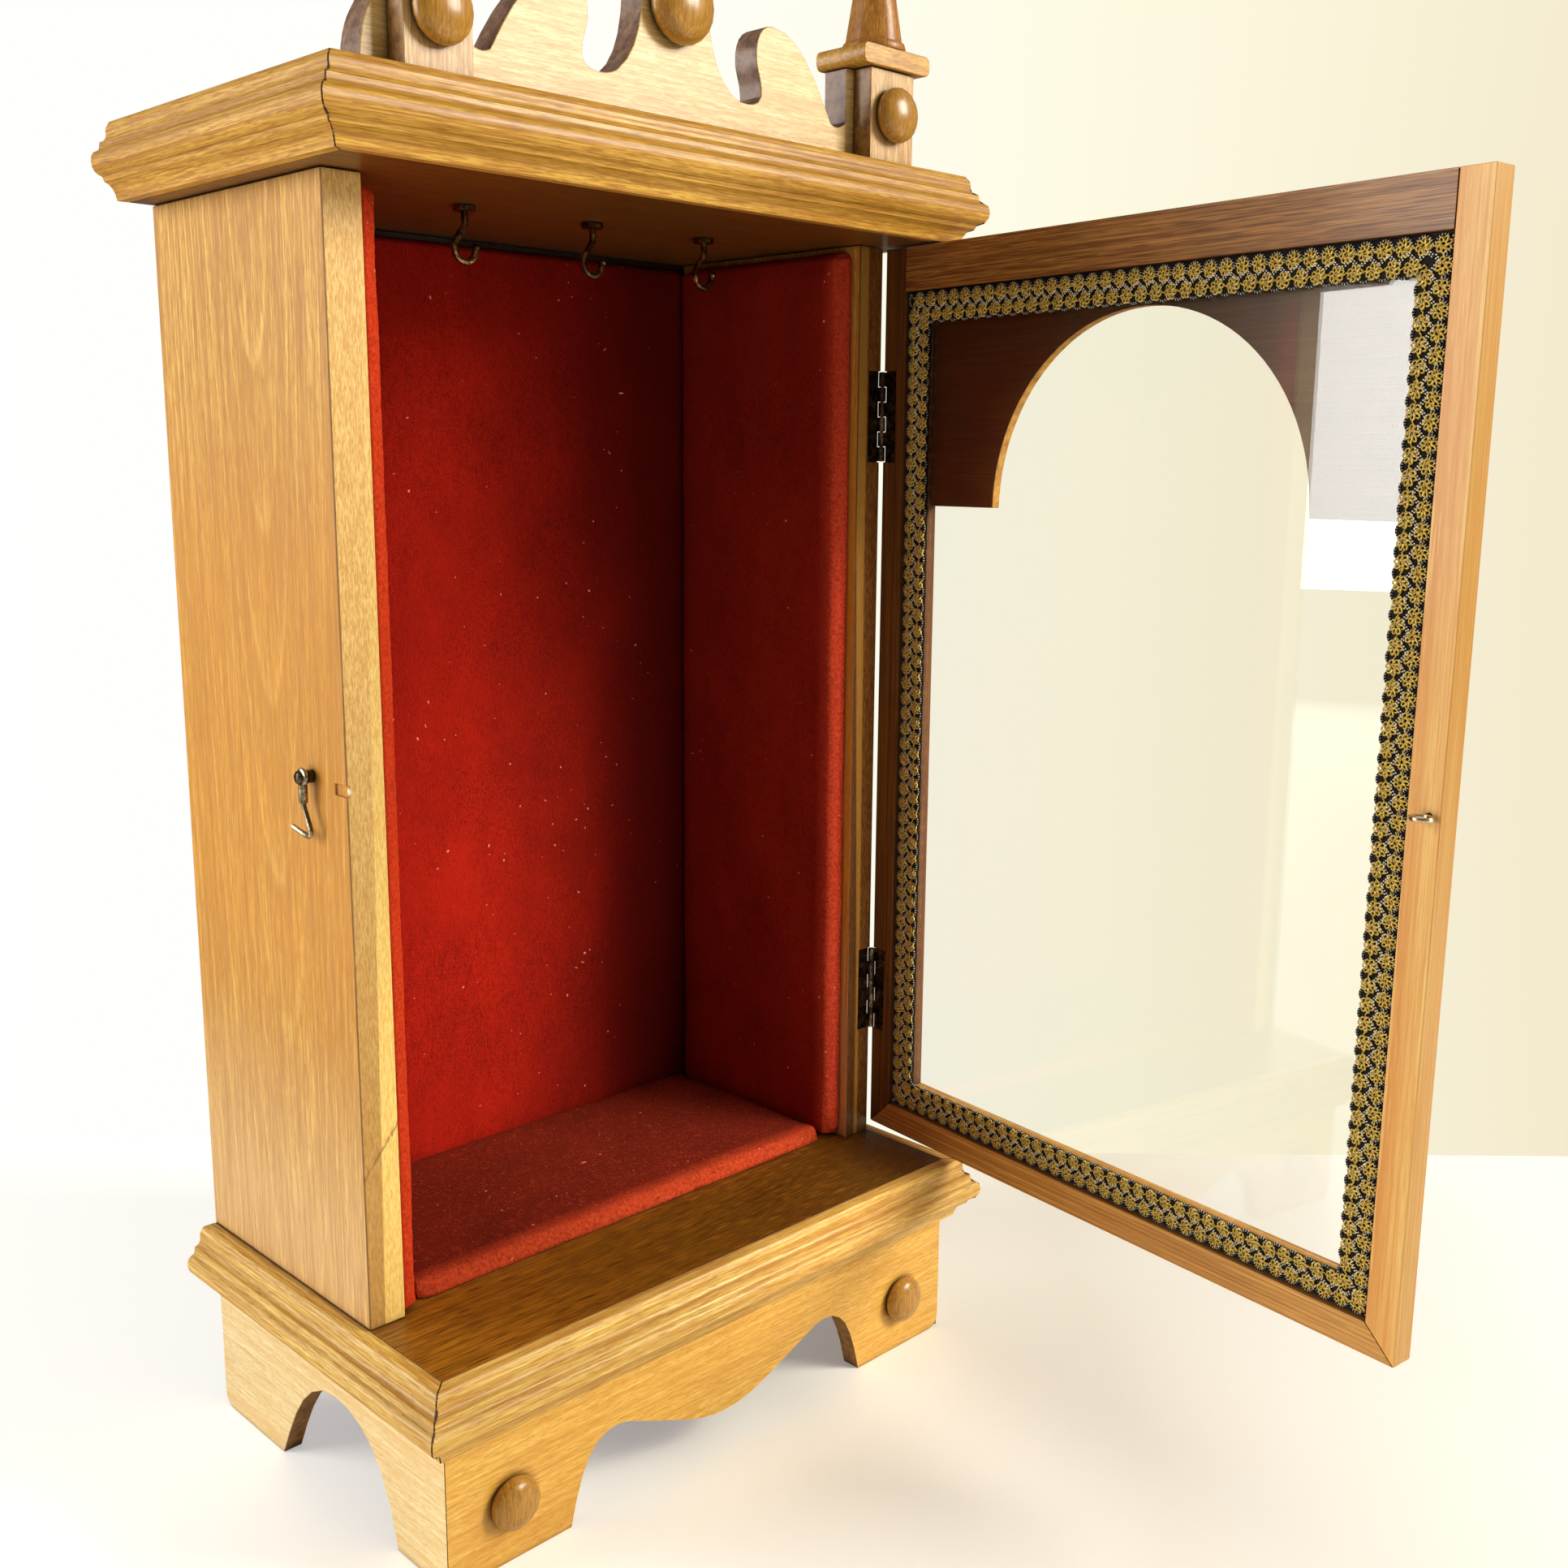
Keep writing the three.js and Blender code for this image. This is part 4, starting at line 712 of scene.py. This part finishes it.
class Pad:
    """A velvet panel: flat behind, crowned in front and rolled over at each of its four edges."""

    def __init__(self, width, height, thickness, rolls, shown, seed):
        self.width, self.height, self.thickness = width, height, thickness
        self.rolls, self.shown, self.seed = rolls, shown, seed

    def grid(self, step):
        left, right, low, high = self.rolls
        us, vs = stations(self.width, left, right, step), stations(self.height, low, high, step)
        return [[self.point(u, v) for u in us] for v in vs]

    def point(self, u, v):
        left, right, low, high = self.rolls
        share = (roll(u, left) * roll(self.width - u, right)
                 * roll(v, low) * roll(self.height - v, high))
        crown = (CROWN_SHARE * math.sin(math.pi * u / self.width)
                 * math.sin(math.pi * v / self.height))
        wave = noise.noise(Vector((u * 28, v * 28, self.seed)))
        lift = self.thickness * min(1.0, EDGE_SHARE + crown + WAVE_SHARE * wave) * share
        in_u, in_v = self.wavy(u, v, u, left), self.wavy(u, v, self.width - u, right)
        down, up = self.wavy(u, v, v, low), self.wavy(u, v, self.height - v, high)
        return self.rounded(Vector((u + in_u - in_v, v + down - up, lift)))

    def wavy(self, u, v, distance, radius):
        """How far a slightly wavy rim lies inside the straight one."""
        share = max(0.0, 1 - distance / (3 * radius))
        wave = noise.noise(Vector((u * 40, v * 40, self.seed + 7)))
        return RIM_WAVE * share * (0.5 + 0.5 * wave)

    def rounded(self, p):
        """Draws the four corners of the outline in to a small radius."""
        centre = Vector((min(max(p.x, PAD_CORNER), self.width - PAD_CORNER),
                         min(max(p.y, PAD_CORNER), self.height - PAD_CORNER)))
        off = Vector((p.x - centre.x, p.y - centre.y))
        square, straight = max(abs(off.x), abs(off.y)), off.length
        if straight > 1e-9:
            off *= square / straight
        return Vector((centre.x + off.x, centre.y + off.y, p.z))

    def mesh(self, name, rows, material):
        """A closed mesh from rows of points, with one flat face behind."""
        columns = len(rows[0])
        points = [p for row in rows for p in row]
        faces = []
        for j in range(len(rows) - 1):
            for i in range(columns - 1):
                a = j * columns + i
                faces.append((a, a + 1, a + columns + 1, a + columns))
        last = (len(rows) - 1) * columns
        rim = list(range(columns)) + [(j + 1) * columns - 1 for j in range(1, len(rows))]
        rim += list(range(last + columns - 2, last - 1, -1))
        rim += [j * columns for j in range(len(rows) - 2, 0, -1)]
        faces.append(tuple(reversed(rim)))
        return from_lists(name, points, faces, [material])

    def rim_share(self, p):
        """One at the rolled edge that shows, falling to nothing further in."""
        left, right, low = self.rolls[:3]
        distances = {"left": (p.x, left), "right": (self.width - p.x, right), "low": (p.y, low)}
        distance, radius = distances[self.shown]
        return min(1.0, max(0.0, 1.9 - distance / radius))

    def frayed(self, rows):
        """Lifts the pile at the rim that shows by small uneven tufts."""
        for row in rows:
            for p in row:
                share = self.rim_share(p) * (1.0 if p.z > 0.3 * MM else 0.0)
                tuft = noise.noise(Vector((p.x * 700, p.y * 700, p.z * 700 + self.seed)))
                p.z += TUFT * share * tuft
        return rows


def closer(rows, step):
    """Adds points along the longer side of a grid, on straight lines between those it has."""
    if len(rows) < len(rows[0]):
        template = rows[len(rows) // 2]
        counts = [max(1, round((b - a).length / step)) for a, b in zip(template, template[1:])]
        return [[row[0]] + [row[k].lerp(row[k + 1], i / n) for k, n in enumerate(counts)
                            for i in range(1, n + 1)] for row in rows]
    middle = len(rows[0]) // 2
    out = [rows[0]]
    for here, ahead in zip(rows, rows[1:]):
        count = max(1, round((ahead[middle] - here[middle]).length / step))
        out += [[a.lerp(b, i / count) for a, b in zip(here, ahead)] for i in range(1, count + 1)]
    return out


def swell(piece):
    """Cloth simulation: the panel swells under a little pressure, held where it is glued down."""
    rest = [v.co.copy() for v in piece.data.vertices]
    group = piece.vertex_groups.new(name="held")
    group.add([i for i, co in enumerate(rest) if co.z < GLUED_BELOW], 1.0, "REPLACE")
    cloth = piece.modifiers.new("cloth", "CLOTH")
    settings = cloth.settings
    settings.quality = 4
    settings.use_pressure = True
    settings.uniform_pressure_force = SWELL_PRESSURE
    settings.vertex_group_mass = group.name
    settings.effector_weights.gravity = 0
    settings.tension_stiffness = 12
    settings.bending_stiffness = 1.2
    cloth.collision_settings.use_collision = False
    cloth.point_cache.frame_start = 1
    cloth.point_cache.frame_end = SWELL_FRAMES
    for step in range(1, SWELL_FRAMES + 1):
        SCENE.frame_set(step)
    settled = piece.evaluated_get(bpy.context.evaluated_depsgraph_get())
    moved = [v.co.copy() for v in settled.data.vertices]
    piece.modifiers.remove(cloth)
    SCENE.frame_set(1)
    for before, after in zip(rest, moved):
        shift = after - before
        if shift.length > SWELL_CAP:
            after[:] = before + shift * (SWELL_CAP / shift.length)
    return moved


def lining(node, across, up, out, material, seed, rolls, shown):
    """One velvet panel in the place of its CAD solid, which it replaces."""
    low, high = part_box(node)
    size = high - low
    thickness = abs(size.dot(out))
    width, height = abs(size.dot(across)), abs(size.dot(up))
    corner = Vector([low[k] if (across + up + out)[k] > 0 else high[k] for k in range(3)])
    pad = Pad(width, height, thickness * PAD_SHARE, [r * MM for r in rolls], shown, seed)
    rows = pad.grid(PAD_STEP)
    columns = len(rows[0])
    rough = pad.mesh(node + "_rough", rows, material)
    moved = swell(rough)
    mesh = rough.data
    bpy.data.objects.remove(rough)
    bpy.data.meshes.remove(mesh)
    rows = [moved[j * columns:(j + 1) * columns] for j in range(len(rows))]
    rows = pad.frayed(closer(rows, PAD_FINE_STEP))
    shares = [pad.rim_share(p) for row in rows for p in row]
    axes = Matrix((across, up, out)).transposed()
    for row in rows:
        for p in row:
            flat = Vector((min(max(p.x, 0), width), min(max(p.y, 0), height), max(p.z, 0)))
            p[:] = corner + axes @ flat
    piece = pad.mesh(node + "_velvet", rows, material)
    if axes.determinant() < 0:
        piece.data.flip_normals()
    rim = piece.data.attributes.new("rim", "FLOAT", "POINT")
    rim.data.foreach_set("value", shares)
    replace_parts(piece, node)
    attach(piece, "case")


def line_case():
    deep, glow = rgb(104, 10, 6), rgb(212, 66, 28)
    red = velvet("red_velvet", deep, rgb(186, 34, 14), glow)
    back = velvet("red_velvet_back", deep, rgb(192, 34, 14), glow, right_shade=0.75)
    right = velvet("red_velvet_right", rgb(96, 14, 9), rgb(172, 44, 24), rgb(204, 70, 42))
    floor = velvet("red_velvet_floor", rgb(62, 12, 6), rgb(122, 32, 14), rgb(196, 70, 36),
                   fibres=0.7)
    x, y, z = Vector((1, 0, 0)), Vector((0, 1, 0)), Vector((0, 0, 1))
    lining("lining_back", x, z, -y, back, 1.0, (1.5, 1.5, 1.5, 3), "low")
    lining("lining_left", y, z, x, red, 2.0, (4.2, 1.5, 1.5, 3.5), "left")
    lining("lining_right", y, z, -x, right, 3.0, (4.2, 1.5, 1.5, 3.5), "left")
    lining("lining_floor", x, y, z, floor, 4.0, (1.5, 1.5, 4.6, 1.5), "low")


# Braid

def door_point(along, inward, up):
    """A point on the door from its hinge edge, its inner face and the door's foot."""
    flat = DOOR_ALONG * (DOOR_EDGE + along) + DOOR_OUT * (DOOR_FACE + inward)
    return DOOR_AXIS + flat + Vector((0, 0, up))


def ball():
    """A small bead with twelve corners."""
    shape = bmesh.new()
    bmesh.ops.create_icosphere(shape, subdivisions=1, radius=1.0)
    shape.verts.ensure_lookup_table()
    points = [v.co.copy() for v in shape.verts]
    faces = [[v.index for v in face.verts] for face in shape.faces]
    shape.free()
    return points, faces


def tube(path, radius, sides, closed):
    """A round thread along a path, as lists of corners and faces."""
    count = len(path)
    points, faces = [], []
    up = Vector((0, 0, 1))
    for i, here in enumerate(path):
        ahead = path[(i + 1) % count] if closed or i + 1 < count else here
        behind = path[i - 1] if closed or i else here
        way = (ahead - behind).normalized()
        side = way.cross(up).normalized()
        other = side.cross(way)
        for k in range(sides):
            turn = 2 * math.pi * k / sides
            points.append(here + (side * math.cos(turn) + other * math.sin(turn)) * radius)
    for i in range(count if closed else count - 1):
        for k in range(sides):
            a, b = i * sides + k, i * sides + (k + 1) % sides
            c, d = ((i + 1) % count) * sides + k, ((i + 1) % count) * sides + (k + 1) % sides
            faces.append((a, b, d, c))
    if not closed:
        faces.append(tuple(range(sides)))
        faces.append(tuple(reversed(range((count - 1) * sides, count * sides))))
    return points, faces


def knot():
    """One knot of gold thread: two turns that cross in seven open petals."""
    path = []
    for i in range(KNOT_POINTS):
        turn = 4 * math.pi * i / KNOT_POINTS
        reach = 1.7 + 0.92 * math.cos(KNOT_LOBES * turn)
        rise = 1.3 + 0.22 * math.sin(KNOT_LOBES * turn) - 0.06 * reach * reach
        path.append(Vector((reach * math.cos(turn), 1.1 * reach * math.sin(turn), rise)) * MM)
    return tube(path, 0.38 * MM, 3, True)


def grain_of_bead():
    """A turn of pale thread round the cord, seen as one bead."""
    corners = ((1, 0, 0), (-1, 0, 0), (0, 1, 0), (0, -1, 0), (0, 0, 1), (0, 0, -1))
    faces = [(4, 0, 2), (4, 2, 1), (4, 1, 3), (4, 3, 0),
             (5, 2, 0), (5, 1, 2), (5, 3, 1), (5, 0, 3)]
    return [Vector(corner) for corner in corners], faces


def scallop(turn, centre, outward):
    """A place on the beaded cord, which arches round the knots and comes to a cusp between them."""
    t = BRAID_PITCH * turn / (2 * math.pi) + CORD_SWING * math.sin(turn)
    return Vector((t, centre + outward * (CORD_LIFT + CORD_REACH * math.cos(turn)), 0.0))


def evenly(path, spacing):
    """Places along a path at one spacing, each with its direction."""
    places, left = [], spacing / 2
    for here, ahead in zip(path, path[1:]):
        step = ahead - here
        length = step.length
        while left < length:
            places.append((here + step * (left / length), step / length))
            left += spacing
        left -= length
    return places


class Strip:
    """One length of braid, built from its threads and beads."""

    def __init__(self, name, start, along, inward, length):
        self.name, self.length = name, length
        self.start, self.along, self.inward = start, along, inward
        self.points, self.faces, self.kinds = [], [], []

    def inside(self, t, w):
        return w * 0.98 <= t <= self.length - w * 0.98

    def add(self, points, faces, kind, move=Vector((0, 0, 0)), scale=(1, 1, 1)):
        base = len(self.points)
        for p in points:
            self.points.append(Vector((p.x * scale[0], p.y * scale[1], p.z * scale[2])) + move)
        self.faces.extend(tuple(base + i for i in face) for face in faces)
        self.kinds.extend([kind] * len(faces))

    def finish(self, materials):
        placed = []
        for p in self.points:
            spot = self.start + self.along * p.x + self.inward * p.y
            placed.append(door_point(spot.x, BRAID_BACK - p.z, spot.y))
        piece = from_lists(self.name, placed, self.faces, materials, material_of=self.kinds)
        shape = bmesh.new()
        shape.from_mesh(piece.data)
        bmesh.ops.recalc_face_normals(shape, faces=shape.faces)
        shape.to_mesh(piece.data)
        shape.free()
        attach(piece, "door")
        return piece


def backing(strip):
    """The black tape under the knots, cut along the beaded cord on its inner edge."""
    outer_row = 0.5 * BRAID_WIDTH + ROW_OFFSET
    turns = math.ceil(strip.length / BRAID_PITCH) + 1
    edge = [scallop(math.pi * i / 8 + math.pi, outer_row, 1) for i in range(-8, 16 * turns)]
    edge = [p for p in edge if 0 < p.x < strip.length]
    points, faces = [], []
    for p in edge:
        reach = max(0.0, min(p.y, p.x, strip.length - p.x))
        for w in (0.3 * MM, max(reach - 0.5 * MM, 0.0), reach):
            w = min(w, reach)
            points.append(Vector((p.x, w, 0.0)))
            points.append(Vector((p.x, w, (0.35 if w < reach else 0.2) * MM)))
    for i in range(len(edge) - 1):
        a, b = i * 6, (i + 1) * 6
        for k in (0, 2):
            faces.append((a + k + 1, b + k + 1, b + k + 3, a + k + 3))
            faces.append((a + k, a + k + 2, b + k + 2, b + k))
        faces.append((a, b, b + 1, a + 1))
        faces.append((a + 4, a + 5, b + 5, b + 4))
    strip.add(points, faces, 0)


def beads_along(strip, path, spacing, shape, sizes):
    along_size, side_size, rise = sizes
    for place, way in evenly(path, spacing):
        if strip.inside(place.x, place.y):
            side = Vector((-way.y, way.x, 0))
            turned = [way * (p.x * along_size) + side * (p.y * side_size)
                      + Vector((0, 0, p.z * rise)) for p in shape[0]]
            strip.add(turned, shape[1], 2, place)


def braid_row(strip, centre, outward, shift):
    """One row: knots on a twisted thread, with the beaded cord arching round their outer side."""
    count = math.ceil(strip.length / BRAID_PITCH)
    gold, ring = knot(), grain_of_bead()
    for i in range(-1, count + 1):
        t = (i + shift) * BRAID_PITCH
        if strip.inside(t, centre):
            lean = noise.noise(Vector((t * 400, centre * 900, 3.0)))
            turn = Matrix.Rotation(1.1 * lean + (0 if outward < 0 else math.pi / 5), 3, "Z")
            strip.add([turn @ p for p in gold[0]], gold[1], 1, Vector((t, centre, 0)),
                      (1 + 0.1 * lean, 1 - 0.12 * lean, 1))
    turns = [2 * math.pi * (i / 14 + shift) for i in range(-14, 14 * (count + 1))]
    cord = [scallop(turn, centre, outward) + Vector((0, 0, 0.75 * MM)) for turn in turns]
    cord = [p for p in cord if strip.inside(p.x, p.y)]
    strip.add(*tube(cord, CORD_RADIUS, 5, False), 0)
    beads_along(strip, cord, 1.0 * MM, ring, (0.33 * MM, 0.56 * MM, 0.6 * MM))
    path = []
    for i in range(round(strip.length / TWIST_STEP) + 1):
        t = i * TWIST_STEP
        if strip.inside(t, centre):
            swing = 2 * math.pi * t / TWIST_LENGTH
            across = centre + 0.4 * MM * math.sin(swing)
            path.append(Vector((t, across, (0.95 + 0.3 * math.cos(swing)) * MM)))
    strip.add(*tube(path, 0.24 * MM, 4, False), 1)


def zigzag(strip):
    """Two strings of larger beads that cross the middle between the rows."""
    middle = 0.5 * BRAID_WIDTH
    bead = ball()
    for shift in (0.0, 1.15 * MM):
        path = []
        for i in range(-2, 2 * math.ceil(strip.length / BRAID_PITCH) + 2):
            swing = 1.5 * MM * (1 if i % 2 else -1)
            path.append(Vector((i * BRAID_PITCH / 2 + shift + 0.9 * MM, middle + swing, 1.0 * MM)))
        beads_along(strip, path, 1.05 * MM, bead, (0.32 * MM,) * 3)


def braid_strip(edge, start, along, inward, length, materials):
    strip = Strip(f"braid_trim_{edge}", start, along, inward, length)
    backing(strip)
    braid_row(strip, 0.5 * BRAID_WIDTH - ROW_OFFSET, -1, 0.0)
    braid_row(strip, 0.5 * BRAID_WIDTH + ROW_OFFSET, 1, 0.5)
    zigzag(strip)
    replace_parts(strip.finish(materials), f"braid_{edge}")


def lay_braid():
    black = thread("black_thread", rgb(9, 7, 6), rgb(22, 16, 12), 0.0, 0.9)
    gold = thread("gold_thread", rgb(206, 168, 64), rgb(252, 228, 128), 0.25, 0.4)
    pearl = thread("pale_bead", rgb(250, 244, 226), rgb(255, 252, 244), 0.0, 0.35)
    materials = [black, gold, pearl]
    across = BRAID_FAR - BRAID_NEAR
    upright = BRAID_TOP - BRAID_BOTTOM
    right, up = Vector((1, 0, 0)), Vector((0, 1, 0))
    near_low = Vector((BRAID_NEAR, BRAID_BOTTOM, 0))
    near_high = Vector((BRAID_NEAR, BRAID_TOP, 0))
    far_low = Vector((BRAID_FAR, BRAID_BOTTOM, 0))
    for edge, *lie in (("top", near_high, right, -up, across),
                       ("bottom", near_low, right, up, across),
                       ("hinge", near_low, up, right, upright),
                       ("latch", far_low, up, -right, upright)):
        braid_strip(edge, *lie, materials)


# Filler in the mitres of the mouldings

# The moulding's face, as distances out from the board and up from its foot, in millimetres
PROFILE = ((4.1, 0.2), (4.5, 2.6), (6.2, 5.1), (8.4, 6.1), (9.0, 7.7), (11.2, 8.6),
           (12.7, 12.4), (12.2, 15.0), (10.8, 16.1), (9.4, 17.2), (9.2, 19.4), (7.4, 20.4),
           (6.7, 22.4), (6.6, 24.6), (5.7, 26.1), (4.5, 26.9))
CORNERS = {"crown": (141.25, 49.025, 482.0), "base": (132.75, 30.525, 55.0)}


def fill_mitres():
    """A dark, uneven line of filler down each mitred corner."""
    f = Finish("mitre_filler", Roughness=0.6, Specular_IOR_Level=LOW_SPECULAR)
    specks = f.noise(f.place(), 900.0, 3.0, 0.7)
    f.set(Base_Color=f.ramp(specks, (0.3, rgb(44, 24, 12)), (0.55, rgb(84, 50, 26)),
                            (0.72, rgb(206, 166, 112))))
    f.bump(specks, 0.4, 0.0004)
    for level, (half, front, foot) in CORNERS.items():
        for hand, side in (("left", -1), ("right", 1)):
            path, radii = [], []
            for here, ahead in zip(PROFILE, PROFILE[1:]):
                for i in range(3):
                    out = here[0] + (ahead[0] - here[0]) * i / 3
                    up = here[1] + (ahead[1] - here[1]) * i / 3
                    sunk = out - 0.15
                    path.append(Vector((side * (half + sunk), front - sunk, foot + up)) * MM)
                    uneven = noise.noise(Vector((out * 0.9, up * 0.9, side * 3 + half)))
                    radii.append(0.46 + 0.2 * uneven)
            points, faces = tube(path, 1.0, 6, False)
            for i, centre in enumerate(path):
                for k in range(6):
                    points[i * 6 + k] = centre + (points[i * 6 + k] - centre) * radii[i] * MM
            piece = from_lists(f"{level}_mitre_filler_{hand}", points, faces, [f.material])
            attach(piece, "case")


# Camera, floor and light

def set_camera():
    data = bpy.data.cameras.new("photo_view")
    data.lens = CAMERA_LENS
    data.sensor_width = SENSOR
    data.clip_start = 0.01
    camera = bpy.data.objects.new("photo_view", data)
    SCENE.collection.objects.link(camera)
    back = -CAMERA_AHEAD.normalized()
    right = (CAMERA_RIGHT - back * CAMERA_RIGHT.dot(back)).normalized()
    turn = Matrix((right, back.cross(right), back)).transposed()
    camera.matrix_world = Matrix.Translation(CAMERA_PLACE) @ turn.to_4x4()
    SCENE.camera = camera


def lay_floor():
    """A pale table top that ends where the photograph's wall begins."""
    ahead = Vector((CAMERA_AHEAD.x, CAMERA_AHEAD.y, 0)).normalized()
    side = Vector((ahead.y, -ahead.x, 0))
    edge = Vector((CAMERA_PLACE[0], CAMERA_PLACE[1], 0)) + ahead * WALL_DISTANCE
    across, back = side * FLOOR_REACH, ahead * FLOOR_REACH
    corners = [edge - across, edge + across, edge + across - back, edge - across - back]
    f = Finish("pale_table", Roughness=0.45, Specular_IOR_Level=LOW_SPECULAR)
    soft = f.noise(f.place(), 3.0, 2.0)
    sideways = f.measure("DOT_PRODUCT", f.place(), side)
    near = f.math("MAXIMUM", f.span(sideways, -0.25, 0.15, 0.5, 0.04),
                  f.span(sideways, 0.1, 0.4, 0.0, 0.3))
    far = f.span(f.measure("LENGTH", f.place()), 0.7, 1.7, 0.0, 0.9)
    f.set(Base_Color=f.mix(soft, rgb(252, 249, 240), rgb(254, 252, 245)),
          Emission_Color=rgb(244, 249, 255),
          Emission_Strength=f.times(f.seen(), f.math("MAXIMUM", near, far)))
    floor = from_lists("floor", corners, [(0, 3, 2, 1)], [f.material], smooth=False)


def lamp(name, place, size, power, colour):
    data = bpy.data.lights.new(name, "AREA")
    data.shape = "RECTANGLE"
    data.size = data.size_y = size
    data.energy = power
    data.color = colour
    made = bpy.data.objects.new(name, data)
    SCENE.collection.objects.link(made)
    made.location = place
    made.rotation_euler = (LAMP_TARGET - Vector(place)).to_track_quat("-Z", "Y").to_euler()
    made.visible_camera = False


def light_scene():
    """Two windows and a warm fill, before a wall that only the camera and the glass see."""
    world = bpy.data.worlds.new("room")
    SCENE.world = world
    world.use_nodes = True
    world.node_tree.nodes.clear()
    g = Graph(world.node_tree)
    sideways = g.measure("DOT_PRODUCT", g.place("Generated"), CAMERA_RIGHT)
    wall = g.ramp(g.span(sideways, -WALL_SPREAD, WALL_SPREAD), (0.0, rgb(255, 255, 255)),
                  (0.4, rgb(255, 255, 248)), (0.7, rgb(254, 250, 226)),
                  (1.0, rgb(243, 233, 204)))
    shown = g.node("ShaderNodeBackground", {"Color": wall, "Strength": 1.0})
    fill = g.node("ShaderNodeBackground", {"Color": FILL_COLOUR, "Strength": FILL_STRENGTH})
    inputs = {0: g.seen(), 1: fill.outputs[0], 2: shown.outputs[0]}
    mixed = g.node("ShaderNodeMixShader", inputs).outputs[0]
    g.node("ShaderNodeOutputWorld", {"Surface": mixed})
    for name, (place, size, power, colour) in LAMPS.items():
        lamp(name, place, size, power, colour)
    SCENE.view_settings.view_transform = "Standard"


set_camera()
light_scene()
lay_floor()
dress_case()
dress_pediment()
dress_door()
dress_metal()
line_case()
lay_braid()
fill_mitres()
